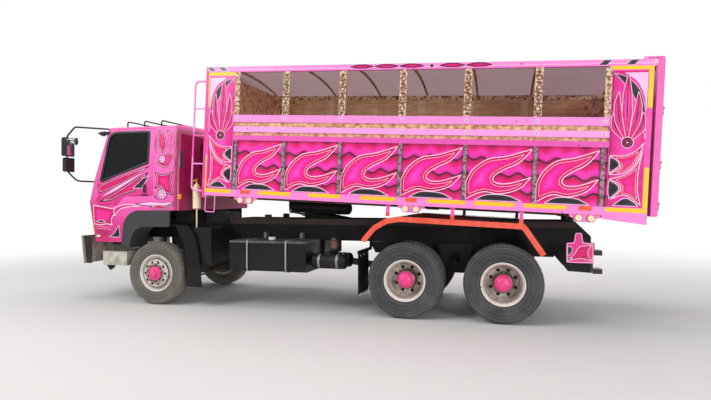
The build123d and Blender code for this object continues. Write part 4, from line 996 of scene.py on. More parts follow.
CORNER_SHAPES = (
    # finish, runs of (share across from the outer edge, share up), line width
    ("black_art", (
        ((0.06, 0.74), (0.24, 0.87), (0.60, 0.955), (0.97, 0.985)),
        ((0.66, 0.905), (0.36, 0.80), (0.16, 0.665), (0.01, 0.50)),
        ((0.01, 0.60),),
    ), 0.004),
    ("pale_art", (
        ((0.08, 0.82), (0.30, 0.925), (0.66, 0.985)),
        ((0.30, 0.985), (0.01, 0.985)),
        ((0.01, 0.70),),
    ), 0.004),
    ("flame", (
        ((0.24, 0.415), (0.56, 0.375), (0.985, 0.375)),
        ((0.80, 0.335), (0.66, 0.29), (0.985, 0.235)),
        ((0.60, 0.245), (0.26, 0.315), (0.02, 0.475)),
    ), 0.009),
    ("flame", (
        ((0.20, 0.315), (0.52, 0.235), (0.97, 0.20)),
        ((0.70, 0.17), (0.62, 0.12), (0.90, 0.05)),
        ((0.58, 0.085), (0.34, 0.07), (0.04, 0.015)),
        ((0.15, 0.13), (0.14, 0.28), (0.03, 0.44)),
    ), 0.009),
    ("black_art", (
        ((0.80, 0.345), (0.70, 0.30), (0.985, 0.245)),
        ((0.985, 0.365),),
    ), 0.007),
    ("black_art", (
        ((0.76, 0.165), (0.68, 0.12), (0.94, 0.055)),
        ((0.985, 0.10), (0.985, 0.19)),
    ), 0.007),
    ("black_art", (
        ((0.28, 0.045), (0.52, 0.062), (0.84, 0.006)),
        ((0.10, 0.006),),
    ), 0.007),
)
PLUME = (
    # lean of the tip, reach up, width, of leaves drawn one over the other
    (-0.43, 0.215, 0.092), (0.43, 0.215, 0.092), (-0.27, 0.365, 0.100), (0.33, 0.365, 0.100), (0.06, 0.50, 0.122),
)
PLUME_SPINE = ((0.12, 0.0), (0.80, 0.40), (1.0, 0.72), (0.92, 1.0))
PLUME_VEIN = ((0.5, 0.22), (0.84, 0.46), (0.98, 0.74), (0.93, 0.93))


def corner_art(canvas, u_edge, u_inner):
    """A tall plume of leaves over a rosette, with wings and dark lenses under it."""
    wide = u_inner - u_edge
    low_v, tall, foot = 0.075, 1.72, 0.485

    def spot(s, t):
        return (u_edge + s * wide, low_v + t * tall)

    def plume_line(lean, reach, shares):
        return [spot(0.5 + lean * share, foot + reach * up) for share, up in shares]

    low = (min(u_edge, u_inner) + PANEL_EDGE, low_v)
    high = (max(u_edge, u_inner) - PANEL_EDGE, low_v + tall)
    ground = np.array([spot(0, 0), spot(1, 0), spot(1, 1), spot(0, 1)])
    canvas.patch("corner", np.clip(ground, low, high), 0, grid=0.035)
    for n, (word, runs, width) in enumerate(CORNER_SHAPES):
        ring = np.clip(closed_by(*[[spot(*p) for p in run] for run in runs]), low, high)
        canvas.patch(word, ring, 1 + 2 * n, line="white_line", line_width=width, grid=0.024)
        if word == "flame":
            canvas.line("white_line", inset(ring, 0.024), 0.004, 3 + 2 * n, closed=True)
    for n, (lean, reach, width) in enumerate(PLUME):
        step = 16 + 2 * n
        ring = leaf(plume_line(lean, reach, PLUME_SPINE), (0.015, width, width * 0.8, 0))
        canvas.patch("leaf", np.clip(ring, low, high), step, line="white_line", grid=0.02)
        vein = smooth(plume_line(lean, reach, PLUME_VEIN))
        canvas.line("dark_line", vein, (0.002, 0.017, 0.012, 0.001), step + 1)
    centre = spot(0.5, foot - 0.012)
    canvas.patch("black_art", disc(centre, 0.070), 31, line="white_line", grid=0.02)
    for ring in petals(centre, 0.066, 8):
        canvas.patch("leaf", ring, 33, grid=0.012)
    canvas.patch("white_line", disc(centre, 0.010, 12), 34, grid=0.01)


def box_ring(u0, u1, v0, v1):
    """Outline of an upright rectangle."""
    return [(u0, v0), (u1, v0), (u1, v1), (u0, v1)]


def bed_art():
    """Flames in the bays, plumes in the corners, yellow borders, and plates and leaves along the band."""
    borders = (
        # u from, u to, v from, v to
        (5.795, 6.288, 1.806, 1.862), (6.224, 6.288, 1.330, 1.8055), (6.224, 6.288, 0.066, 0.587),
        (0.016, 0.492, 1.812, 1.862), (0.016, 0.072, 1.330, 1.8115), (0.016, 0.072, 0.066, 0.580),
    )
    for side, word in SIDES:
        lower = Canvas(on_bed(side, LOW_PANEL_Y))
        for front, rear in zip(POST_US, POST_US[1:]):
            bay_art(lower, front - 0.024, rear + 0.024)
        lower.pieces("bay_art_" + word, "bed", "bed_pink")
        corner = Canvas(on_bed(side, CORNER_PANEL_Y))
        corner_art(corner, 6.215, 5.800)
        corner_art(corner, 0.080, 0.486)
        for border in borders:
            corner.patch("yellow", box_ring(*border), 1, grid=0.2)
        corner.line("dark_line", [(0.482, 0.075), (0.482, 1.80)], 0.010, 1)
        corner.pieces("corner_art_" + word, "bed", "bed_pink")
        band = Canvas(on_bed(side, BED_HALF))
        for run in YELLOW_RUNS:
            band.patch("yellow", box_ring(*run, BAND_LOW, BAND_HIGH - 0.004), 0, grid=0.2)
        for u in (3.80, 3.44, 3.08, 2.52, 2.16):
            spine = [(u + 0.17, 1.902), (u + 0.06, 1.908), (u - 0.06, 1.908), (u - 0.17, 1.902)]
            band.patch("leaf", leaf(spine, (0, 0.046, 0.046, 0)), 1, line="dark_line", line_width=0.011)
        band.patch("black_art", disc((2.80, 1.904), 0.030), 1, line="white_line", grid=0.02)
        for u, lean in ((6.18, 0.06), (5.98, 0.06), (0.62, -0.06), (0.30, -0.06)):
            ring = [(u - 0.055, 1.869), (u + 0.045, 1.869), (u + 0.045 + lean, 1.938), (u - 0.055 + lean, 1.938)]
            band.patch("black_art", ring, 1, line="white_line")
        band.line("pale_art", [(6.28, 1.889), (3.1, 1.889), (0.02, 1.889)], 0.010, 0)
        band.pieces("band_" + word, "bed", "rail_pink")


DOOR_SHAPES = (
    # finish, runs of (station, height), line finish, line width
    ("cab_art", (
        ((-0.86, 1.985), (-0.56, 2.085), (-0.10, 2.225)),
        ((-0.40, 2.055), (-0.70, 1.915), (-1.045, 1.80)),
        ((-1.045, 1.905),),
    ), "dark_line", 0.010),
    ("cab_art", (
        ((-0.80, 1.765), (-0.50, 1.930), (-0.115, 2.125)),
        ((-0.235, 1.985), (-0.330, 1.890), (-0.36, 1.83)),
        ((-0.62, 1.765), (-0.82, 1.680), (-1.035, 1.655)),
    ), "dark_line", 0.014),
    ("black_art", (
        ((-0.29, 1.965), (-0.20, 2.030), (-0.095, 2.070)),
        ((-0.17, 1.960), (-0.22, 1.905), (-0.21, 1.872)),
        ((-0.40, 1.872),),
    ), "white_line", 0.006),
    ("pale_art", (
        ((-0.76, 1.83), (-0.50, 1.965), (-0.26, 2.10)),
        ((-0.50, 1.99), (-0.76, 1.865), (-0.98, 1.745)),
    ), "white_line", 0.004),
)
QUARTER_SHAPES = (
    # the same for the cab behind and below the doors
    ("cab_art", (
        ((0.155, 2.70), (0.185, 2.56), (0.130, 2.43)),
        ((0.065, 2.52), (0.035, 2.66), (0.055, 2.80)),
    ), "dark_line", 0.010),
    ("leaf", (
        ((0.305, 2.72), (0.335, 2.58), (0.270, 2.46)),
        ((0.215, 2.56), (0.230, 2.69), (0.195, 2.80)),
    ), "dark_line", 0.010),
    ("cab_art", (
        ((0.125, 2.38), (0.235, 2.43), (0.330, 2.40)),
        ((0.290, 2.27), (0.180, 2.20), (0.045, 2.27)),
    ), "dark_line", 0.010),
    ("cab_art", (
        ((0.120, 2.085), (0.230, 2.095), (0.345, 2.130)),
        ((0.300, 1.98), (0.325, 1.87), (0.345, 1.76)),
        ((0.225, 1.80), (0.120, 1.90), (0.015, 1.87)),
        ((0.055, 1.99), (0.015, 2.125)),
    ), "dark_line", 0.012),
    ("pale_art", (
        ((-0.10, 1.648), (0.16, 1.640), (0.375, 1.655)),
        ((0.18, 1.585), (-0.06, 1.590), (-0.36, 1.615)),
    ), "dark_line", 0.008),
    ("cab_art", (
        ((0.08, 1.600), (0.24, 1.590), (0.375, 1.612)),
        ((0.26, 1.552), (0.06, 1.542), (-0.08, 1.572)),
    ), "dark_line", 0.006),
    ("cab_art", (
        ((-0.98, 1.570), (-0.80, 1.545), (-0.66, 1.560)),
        ((-0.745, 1.46), (-0.805, 1.36), (-0.790, 1.265)),
        ((-0.90, 1.285), (-1.02, 1.270), (-1.150, 1.285)),
        ((-1.165, 1.600),),
    ), "white_line", 0.008),
    ("black_art", (
        ((-0.700, 1.215), (-0.755, 1.140), (-0.850, 1.075)),
        ((-0.640, 1.075),),
        ((-0.660, 1.270),),
    ), "white_line", 0.006),
    ("leaf", (
        ((-0.60, 1.600), (-0.42, 1.612), (-0.24, 1.575)),
        ((-0.42, 1.572), (-0.62, 1.535), (-0.74, 1.42)),
        ((-0.765, 1.49), (-0.74, 1.555)),
    ), "white_line", 0.008),
    ("black_art", (
        ((-1.04, 1.352), (-0.97, 1.348), (-0.92, 1.318)),
        ((-0.99, 1.306), (-1.10, 1.325)),
    ), "white_line", 0.006),
)


def cab_art():
    """Ribbons on the doors, leaves and rosettes behind them, and flames low at the front."""
    stripe = smooth([(-1.02, 2.00), (-0.80, 2.055), (-0.45, 2.165), (-0.10, 2.268)])
    hooks = (
        ((0.355, 2.78), (0.385, 2.62), (0.355, 2.44)), ((0.02, 2.42), (-0.005, 2.60), (0.02, 2.76)),
        ((0.355, 2.36), (0.380, 2.26), (0.345, 2.18)), ((-0.01, 1.80), (0.02, 1.72), (0.10, 1.69)),
    )
    for side, word in SIDES:
        door = Canvas(on_cab(side))
        quarter = Canvas(on_cab(side))
        for canvas, shapes in ((door, DOOR_SHAPES), (quarter, QUARTER_SHAPES)):
            for n, (finish_name, runs, line, width) in enumerate(shapes):
                ring = closed_by(*runs)
                canvas.patch(finish_name, ring, 2 + 2 * n, line=line, line_width=width, grid=0.022)
                if finish_name != "black_art":
                    canvas.line("white_line", inset(ring, width * 0.5 + 0.004), 0.005, 3 + 2 * n, closed=True)
        door.line("dark_line", stripe, (0.003, 0.010, 0.003), 2)
        door.pieces("door_art_" + word, "door_" + word, "cab_pink")
        for centre, radius in (((0.135, 2.335), 0.062), ((0.150, 1.775), 0.080)):
            quarter.patch("pale_art", disc(centre, radius), 24, line="dark_line", line_width=0.010, grid=0.02)
            for ring in petals(centre, radius * 0.96, 7):
                quarter.patch("black_art", ring, 26, grid=0.012)
        for hook in hooks:
            quarter.line("dark_line", smooth(hook), (0.002, 0.018, 0.002), 2)
        for z in (1.245, 1.212, 1.178, 1.144, 1.112):
            flow = smooth([(-1.115, z), (-0.96, z - 0.006), (-0.80, z - 0.026)])
            quarter.line("white_line" if z > 1.2 else "dark_line", flow, (0.002, 0.006, 0.002), 2)
        quarter.pieces("cab_art_" + word, "cab", "cab_pink")


# Wheels

WALL_BULGE = (
    # shares of the wall's height, and of its full bulge there
    (0.0, 0.10, 0.22, 0.34, 0.40, 0.56, 0.74, 0.86, 0.95), (0.0, 0.42, 0.70, 0.88, 0.945, 1.0, 0.99, 0.965, 0.93),
)
WALL_RIBS = (
    # share of the wall's height, rise of a ring there in metres
    (0.05, 0.0), (0.10, 0.0), (0.115, 0.0030), (0.155, 0.0030), (0.17, 0.0), (0.27, 0.0), (0.40, 0.0),
    (0.415, 0.0024), (0.44, 0.0024), (0.455, 0.0), (0.58, 0.0), (0.66, 0.0), (0.675, 0.0022), (0.70, 0.0022),
    (0.715, 0.0), (0.80, 0.0), (0.82, 0.0034), (0.88, 0.0034), (0.90, 0.0006), (0.96, 0.0),
)
RIB_COUNT = 6


def tyre_form(radius, width, pitches, rear):
    """A tyre on the Y axis: ribs and zigzag grooves across the tread, notched shoulders, raised sidewall rings."""
    half = width / 2
    bulge = 0.0365
    bead = half - bulge
    outer = radius - SHOULDER_DROP
    rows = [(-bead, 0.286), (-bead, BEAD_R)]
    for up, rise in WALL_RIBS:
        out = bulge * np.interp(up, *WALL_BULGE) + rise * 0.8 - 0.0030
        rows.append((-(bead + out), BEAD_R + (outer - BEAD_R) * up))
    tread_half = half - 0.014
    grooves = []
    for n in range(RIB_COUNT):
        y0, y1 = (-tread_half + 2 * tread_half * m / RIB_COUNT for m in (n, n + 1))
        grooves += [(y0 + 0.004, 0), (y1 - 0.004, 0)]
        if n < RIB_COUNT - 1:
            grooves += [(y1 - 0.002, 1), (y1 + 0.002, 1)]
    crown = [(y, outer + (radius - outer) * (1 - (y / tread_half) ** 2) ** 0.5, deep) for y, deep in grooves]
    profile = [(y, r, 0) for y, r in rows] + crown + [(-y, r, 0) for y, r in rows[::-1]]
    count = len(profile)
    first = len(rows)
    steps = 4
    verts = []
    for n, (sine, cosine) in enumerate(around(pitches * steps)):
        phase = n % steps
        for k, (y, r, deep) in enumerate(profile):
            from_edge = min(k, count - 1 - k) - first
            zig = 0.0035 * (1 if phase < 2 else -1) if from_edge > 0 else 0.0
            notch = 0.010 if from_edge in (-1, 0, 1) and phase == 0 else 0.0
            block = 0.006 if rear and not deep and from_edge > 1 and phase == 3 else 0.0
            tick = math.copysign(0.0012, y) if from_edge in (5 - first, 6 - first, 7 - first) and phase < 2 else 0.0
            reach = r - 0.011 * deep - notch - block
            verts.append((reach * sine, y + zig + tick, reach * cosine))
    return verts, skin(pitches * steps, count)


def tyres():
    """Every tyre with its tread, in place of the plain ones."""
    front = tyre_form(FRONT_TYRE_R, FRONT_TYRE_W, 60, False)
    rear = tyre_form(REAR_TYRE_R, REAR_TYRE_W, 50, True)
    spots = []
    for side, word in SIDES:
        spots.append((front, "front_tyre_" + word, "front_wheel_" + word, 0.0, side * FRONT_TYRE_Y, FRONT_TYRE_R, ""))
        for place, station in (("mid", MID_AXLE), ("rear", REAR_AXLE)):
            for shift, tag in ((0.0, "_outer"), (TWIN_STEP, "_inner")):
                spots.append((rear, place + "_tyres_" + word, place + "_wheels_" + word,
                              station, side * (TWIN_Y - shift), REAR_TYRE_R, tag))
    for form, node, body, station, y, z, tag in spots:
        batch = Batch()
        batch.place(form, at(station, y, z))
        made = batch.piece("tread_" + node + tag, node.split("_")[0] + "_rubber", body, "tyre_rubber", angle=30)
        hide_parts(node)


def wheel_trim():
    """Nuts, studs and caps on every wheel."""
    nut = lathe([(-0.012, 0.0), (-0.012, 0.019), (0.008, 0.019), (0.012, 0.015), (0.024, 0.014), (0.028, 0.010),
                 (0.028, 0.0)], 6)
    stud = lathe([(-0.008, 0.0), (-0.008, 0.009), (0.007, 0.009), (0.009, 0.006), (0.009, 0.0)], 6)
    cap = lathe([(-0.01, 0.0), (-0.01, 0.052), (0.010, 0.050), (0.022, 0.038), (0.028, 0.020), (0.030, 0.0)], 28)
    dome = lathe([(-0.01, 0.0), (-0.01, 0.090), (0.006, 0.088), (0.020, 0.074), (0.030, 0.045), (0.034, 0.0)])
    nut_r = 0.142
    groups = (
        # place, station, height, y of the nuts, the studs and the cap, body, cap, radius of the studs
        ("front", 0.0, FRONT_TYRE_R, FRONT_TYRE_Y + 0.144, FRONT_TYRE_Y + 0.138, FRONT_TYRE_Y + 0.192,
         "front_wheel_", cap, 0.086),
        ("mid", MID_AXLE, REAR_TYRE_R, TWIN_Y - 0.138, TWIN_Y + 0.040, TWIN_Y + 0.050, "mid_wheels_", dome, 0.102),
        ("rear", REAR_AXLE, REAR_TYRE_R, TWIN_Y - 0.138, TWIN_Y + 0.040, TWIN_Y + 0.050, "rear_wheels_", dome, 0.102),
    )
    for side, word in SIDES:
        turn = mirrored(side)
        for place, station, z, nut_y, stud_y, cap_y, body, centre, stud_r in groups:
            nuts, pink = Batch(), Batch()
            nuts.place(nut, *(turn @ at(station + nut_r * s, nut_y, z + nut_r * c) for s, c in around(10)))
            pink.place(stud, *(turn @ at(station + stud_r * s, stud_y, z + stud_r * c) for s, c in around(8, 0.5)))
            pink.place(centre, turn @ at(station, cap_y, z))
            nuts.piece(place + "_nuts_" + word, "nut", body + word, "wheel_steel")
            pink.piece(place + "_cap_" + word, "hub_pink", body + word, "wheel_steel")


# Body fittings


def rail_bolts():
    """Domed bolts on white washers where the side rails cross the posts."""
    washer = lathe([(0.0, 0.0), (0.0, 0.024), (0.002, 0.024), (0.003, 0.022), (0.003, 0.0)], 20)
    head = lathe([(0.002, 0.0), (0.002, 0.013), (0.006, 0.013), (0.010, 0.009), (0.011, 0.0)], 12)
    for side, word in SIDES:
        plates, heads = Batch(), Batch()
        spots = [bed_spot(u, BED_HALF + 0.0004, v, side) for u in POST_US for v in (1.151, 0.987)]
        plates.place(washer, *spots)
        heads.place(head, *spots)
        plates.piece("rail_washers_" + word, "white_line", "bed", "rail_pink")
        heads.piece("rail_bolts_" + word, "bolt", "bed", "rail_pink")


def post_pattern():
    """Raised rings and lozenges down the upper posts."""
    ring = lathe([(0.0, 0.026), (0.0, 0.038), (0.004, 0.038), (0.004, 0.026)], 16, closed=True)
    lozenge = slab([(0.034, 0.0), (0.0, 0.024), (-0.034, 0.0), (0.0, -0.024)], 0.0, 0.004, 0.002)
    for side, word in SIDES:
        batch = Batch()
        for u in POST_US[1:-1]:
            for n in range(9):
                batch.place(ring if n % 2 else lozenge, bed_spot(u, BED_HALF - 0.0028, 1.245 + n * 0.069, side))
        batch.piece("post_pattern_" + word, "canister", "bed", "post_beige")


def lamp_trim():
    """Pink bezels round the round lamps."""
    bezel = lathe([(0.0, 0.0425), (0.0, 0.052), (0.018, 0.050), (0.020, 0.046), (0.018, 0.0425)], 28, closed=True)
    for side, word in SIDES:
        batch = Batch()
        for u in LAMP_US:
            batch.place(bezel, *(bed_spot(u + shift, BED_HALF - 0.0215, -0.095, side) for shift in (-0.075, 0.075)))
        batch.piece("lamp_bezels_" + word, "gate", "bed", "rail_pink")


def window_seals():
    """Black rubber round the side windows."""
    ring = rounded(((-1.019, 1.981, 0.03), (-0.133, 2.286, 0.025), (-0.133, 2.785, 0.025), (-0.893, 2.792, 0.19)))
    for side, word in SIDES:
        batch = Batch()
        stroke_seal(batch, ring, 0.044, on_cab(side))
        batch.piece("window_seal_" + word, "plastic", "door_" + word, "black_plastic")


def rounded(rows, steps=8):
    """A closed line from (across, up, corner radius) rows."""
    out = []
    for n, (*corner, radius) in enumerate(rows):
        p = np.array(corner)
        before = np.array(rows[n - 1][:2]) - p
        after = np.array(rows[(n + 1) % len(rows)][:2]) - p
        before /= np.linalg.norm(before)
        after /= np.linalg.norm(after)
        back = radius / math.tan(math.acos(np.clip(before @ after, -1, 1)) / 2)
        start, end = p + before * back, p + after * back
        for k in range(steps + 1):
            t = k / steps
            out.append((1 - t) ** 2 * start + 2 * t * (1 - t) * p + t * t * end)
    return np.array(out)


def rounded_box(across, low, high, radius, steps=8):
    """A closed line round a box that is centred across."""
    return rounded([(-across, low, radius), (across, low, radius), (across, high, radius), (-across, high, radius)],
                   steps)


def stroke_seal(batch, ring, width, place):
    """A half-round bead along a closed line."""
    section = ((-0.5, -0.004), (-0.5, 0.002), (-0.25, 0.006), (0.25, 0.006), (0.5, 0.002), (0.5, -0.004))
    verts = []
    for p, step in zip(ring, normals(ring, True)):
        for share, lift in section:
            a, b = p + step * share * width
            verts.append(place(a, b, lift))
    batch.add(verts, skin(len(ring), len(section)))


FORWARD = Matrix.Rotation(math.radians(90), 4, "Z")
REARWARD = Matrix.Rotation(math.radians(-90), 4, "Z")
UPWARD = Matrix.Rotation(math.radians(90), 4, "X")


def on_front(y, z, height):
    """A point of the cab's front, height above its face."""
    return (AXLE_X + front_x(z) - height, y, z)


def on_rear_wall(side):
    """Puts (distance from the middle, z, height above it) on the cab's rear wall and its rounded corner."""
    def place(y, z, height):
        past = max(y - (cab_side(z) - CAB_REAR_R), 0)
        fall = CAB_REAR_R - math.sqrt(max(CAB_REAR_R ** 2 - past ** 2, 0))
        return (AXLE_X + CAB_REAR - fall + height, side * y, z)
    return place


def band_ring(low, high, y0, y1, count=8):
    """A strip's outline with points enough to follow a curved face."""
    rise = np.linspace(low, high, count)
    ring = [(y0, z) for z in rise] + [(y, high) for y in np.linspace(y0, y1, 6)[1:]]
    return np.array(ring + [(y1, z) for z in rise[::-1][1:]] + [(y, low) for y in np.linspace(y1, y0, 6)[1:-1]])


def cab_seals():
    """Rubber round the windscreen and the rear window, and the wipers."""
    seals = Batch()
    stroke_seal(seals, rounded_box(1.0, 1.93, 2.77, 0.09), 0.040, on_front)
    stroke_seal(seals, rounded_box(0.56, 2.18, 2.64, 0.06), 0.036,
                lambda y, z, height: (AXLE_X + CAB_REAR + height, y, z))
    boss = lathe([(0.0, 0.0), (0.0, 0.026), (0.016, 0.022), (0.022, 0.012), (0.024, 0.0)], 16)
    for pivot, tip in ((0.62, -0.12), (-0.20, -0.90)):
        middle = (pivot + tip) / 2
        arm = [on_front(pivot, 1.885, 0.012), on_front(pivot, 1.900, 0.034), on_front(middle, 1.985, 0.030)]
        blade = [on_front(tip + 0.04, 2.010, 0.016), on_front(middle, 1.990, 0.024),
                 on_front(pivot - 0.04, 1.975, 0.016)]
        seals.add(*tube(arm, 0.008, 8))
        seals.add(*tube(blade, 0.010, 6))
        seals.place(boss, Matrix.Translation(on_front(pivot, 1.885, 0.0)) @ FORWARD)
    seals.piece("cab_seals", "plastic", "cab", "black_plastic")


def cab_trim():
    """Headlamps, corner lamps, mirror glasses and brackets, and two strips on the rear corners."""
    rings, lenses, amber, glasses, brackets = Batch(), Batch(), Batch(), Batch(), Batch()
    rim = lathe([(0.0, 0.034), (0.0, 0.043), (0.008, 0.042), (0.010, 0.038), (0.008, 0.034)], 28, closed=True)
    bulb = lathe([(0.0, 0.0), (0.0, 0.035), (0.004, 0.031), (0.008, 0.018), (0.010, 0.0)], 28)
    pearl = lathe([(-0.004, 0.0), (-0.004, 0.026), (0.006, 0.024), (0.012, 0.014), (0.014, 0.0)], 20)
    wedge = slab([(-1.035, 2.742), (-0.880, 2.806), (-0.985, 2.822), (-1.130, 2.800)], 1.120, 1.178, 0.006)
    for side, word in SIDES:
        for y in (0.900, 0.990):
            spot = Matrix.Translation(on_front(side * y, 1.210, 0.0225)) @ FORWARD
            rings.place(rim, spot)
            lenses.place(bulb, spot)
        for z in (1.140, 1.280):
            rings.add(*tube([on_front(side * y, z, 0.022) for y in (0.856, 1.040)], 0.005, 8))
        amber.place(pearl, mirrored(side) @ at(-1.060, CAB_HALF, 1.088) @ Matrix.Diagonal((1.5, 1, 0.8, 1)))
        for heights in ((2.412, 2.682), (2.158, 2.354)):
            glasses.block((-1.441, -1.4385), (side * 1.348, side * 1.512), heights, 0.001)
        brackets.place(wedge, mirrored(side) @ at(0, 0, 0))
        rear = Canvas(on_rear_wall(side))
        rear.patch("black_art", band_ring(2.181, 2.476, 1.108, 1.176), 2, grid=0.02)
        rear.patch("yellow", band_ring(1.700, 1.770, 1.150, 1.205, 3), 2, grid=0.02)
        rear.pieces("cab_rear_" + word, "cab", "cab_pink")
    brackets.piece("mirror_brackets", "plastic", "cab", "black_plastic")
    rings.piece("headlamp_rings", "chrome", "cab", "black_plastic")
    lenses.piece("headlamp_lenses", "glass_clear", "cab", "lamp_lens")
    amber.piece("corner_lamps", "lens", "cab", "lamp_lens")
    glasses.piece("mirror_glasses", "chrome", "cab", "black_plastic")


def number_plate(name, spot, body):
    """A blank plate with a raised rim and two screws, facing along +Y of its spot."""
    plate = Batch()
    plate.place(eased_box((0.340, 0.004, 0.150), 0.0015), spot)
    stroke_seal(plate, rounded_box(0.168, -0.073, 0.073, 0.012, 4), 0.007,
                lambda a, b, height: tuple(spot @ Vector((a, height, b))))
    screw = lathe([(0.0, 0.0), (0.0, 0.007), (0.004, 0.006), (0.005, 0.0)], 12)
    plate.place(screw, *(spot @ Matrix.Translation((x, 0.002, 0.055)) for x in (-0.10, 0.10)))
    plate.piece(name, "plate", body, "chassis_black")


def bumper_trim():
    """Bolts and a blank plate on the bumper, and a black flap under the left step."""
    def spot(y, z, ahead):
        face = BUMPER_FACE + (BUMPER_TOP - z) * math.tan(BUMPER_SLOPE)
        return at(face - ahead, y, z) @ Matrix.Rotation(-BUMPER_SLOPE, 4, "Y") @ FORWARD

    number_plate("front_plate", spot(0, 0.84, 0.004), "root")
    bolts = Batch()
    head = lathe([(0.0, 0.0), (0.0, 0.020), (0.002, 0.020), (0.002, 0.013), (0.010, 0.011), (0.012, 0.0)], 12)
    for y in (-1.08, -0.66, -0.34, 0.34, 0.66, 1.08):
        bolts.place(head, *(spot(y, z, 0.0003) for z in (1.030, 0.670)))
    bolts.piece("bumper_bolts", "bolt", "root", "chassis_black")
    flap = Batch()
    flap.place(slab([(-0.075, 0.0), (0.105, 0.0), (0.060, -0.055), (0.0, -0.085)], -0.008, 0.008, 0.003),
               at(-0.900, -1.130, 0.6025))
    flap.piece("step_flap", "guard_black", "root", "chassis_black")


def tow_art():
    """White-edged leaves on the two tow plates."""
    plate = rounded([(6.233, 0.839, 0.015), (6.559, 0.839, 0.015), (6.559, 1.092, 0.015), (6.434, 1.102, 0.008),
                     (6.413, 1.230, 0.008), (6.347, 1.230, 0.008), (6.326, 1.102, 0.008), (6.233, 1.092, 0.015)], 4)
    fan = closed_by(((6.34, 0.97), (6.40, 1.05), (6.545, 1.075)), ((6.50, 1.00), (6.50, 0.93), (6.545, 0.86)),
                    ((6.44, 0.89), (6.35, 0.885), (6.26, 0.86)))
    for side, word in SIDES:
        canvas = Canvas(lambda x, z, height: (AXLE_X + x, side * (0.912 + height), z))
        canvas.line("pale_art", plate, 0.010, 1, closed=True)
        canvas.patch("flame", fan, 2, line="white_line", line_width=0.007, grid=0.02)
        for low, high in ((0.93, 1.05), (0.852, 0.90)):
            dark = closed_by(((6.285, low + 0.03), (6.300, high - 0.01), (6.238, high)), ((6.238, low),))
            canvas.patch("black_art", dark, 4, line="white_line", line_width=0.005, grid=0.02)
        for rise in (0.90, 0.95, 1.00):
            vein = smooth([(6.36, rise - 0.01), (6.44, rise + 0.02), (6.52, rise + 0.01)], 6)
            canvas.line("dark_line", vein, (0.001, 0.007, 0.001), 4)
        canvas.pieces("tow_art_" + word, "root", "coupling_pink")


# How far behind the bed's rear edge the tailgate's panels and its tubes end.
GATE_FACE = 0.063
GATE_TUBE_FACE = 0.105


def backed_flame(panel, low, high):
    """A bay's flame on a plain ground of its own."""
    panel.patch("corner", box_ring(low, high, BAY_LOW - 0.015, BAY_HIGH + 0.03), 0)
    bay_art(panel, high, low)


def gate_art():
    """The bed's plumes and flames repeated on the tailgate's four panels."""
    def place(y, v, height):
        return bed_point(-(GATE_FACE + height), y, v)

    canvas = Canvas(place)
    for side in (-1, 1):
        corner_art(canvas, side * 1.135, side * 0.665)
    canvas.pieces("gate_corner_art", "tailgate", "bed_pink")
    for side, word in SIDES:
        for lift, level in ((0.0, "low"), (0.905, "high")):
            panel = Canvas(lambda y, v, height: place(side * y, v + lift, height))
            backed_flame(panel, 0.045, 0.575)
            panel.pieces("gate_art_" + level + "_" + word, "tailgate", "bed_pink")


def gate_trim():
    """Latches, reflectors and warning strips on the tailgate."""
    latches, marks, strips = Batch(), Batch(), Batch()
    hook = eased_box((0.020, 0.050, 0.110), 0.004)
    pin = lathe([(-0.035, 0.0), (-0.035, 0.012), (0.035, 0.012), (0.035, 0.0)], 14)
    reflector = lathe([(-0.001, 0.0), (-0.001, 0.040), (0.005, 0.039), (0.008, 0.034), (0.008, 0.0)], 24)
    strip = eased_box((0.003, 0.150, 0.045), 0.001)
    for side in (-1, 1):
        for v in (0.10, 0.62, 1.30):
            latches.place(hook, bed_spot(-GATE_TUBE_FACE - 0.006, side * 1.195, v))
            latches.place(pin, bed_spot(-GATE_TUBE_FACE - 0.014, side * 1.195, v + 0.03))
        marks.place(reflector, *(bed_spot(-GATE_TUBE_FACE, side * y, 0.012) @ REARWARD for y in (0.18, 1.04)))
    strips.place(strip, *(bed_spot(-GATE_TUBE_FACE - 0.001, -0.92 + 0.23 * n, 1.925) for n in range(9)))
    latches.piece("gate_latches", "bolt", "tailgate", "rail_pink")
    marks.piece("gate_reflectors", "tail_lens", "tailgate", "lamp_lens")
    strips.piece("gate_strips", "yellow", "tailgate", "rail_pink")


def headboard_art():
    """Two plumes and two flames on the headboard's front."""
    def place(y, v, height):
        return bed_point(BED_LENGTH + height, y, v)

    canvas = Canvas(place)
    for side in (-1, 1):
        corner_art(canvas, side * 1.205, side * 0.790)
    canvas.pieces("headboard_corner_art", "bed", "bed_pink")
    for side, word in SIDES:
        panel = Canvas(lambda y, v, height: place(side * y, v + 1.045, height))
        backed_flame(panel, 0.06, 0.72)
        panel.pieces("headboard_art_" + word, "bed", "bed_pink")


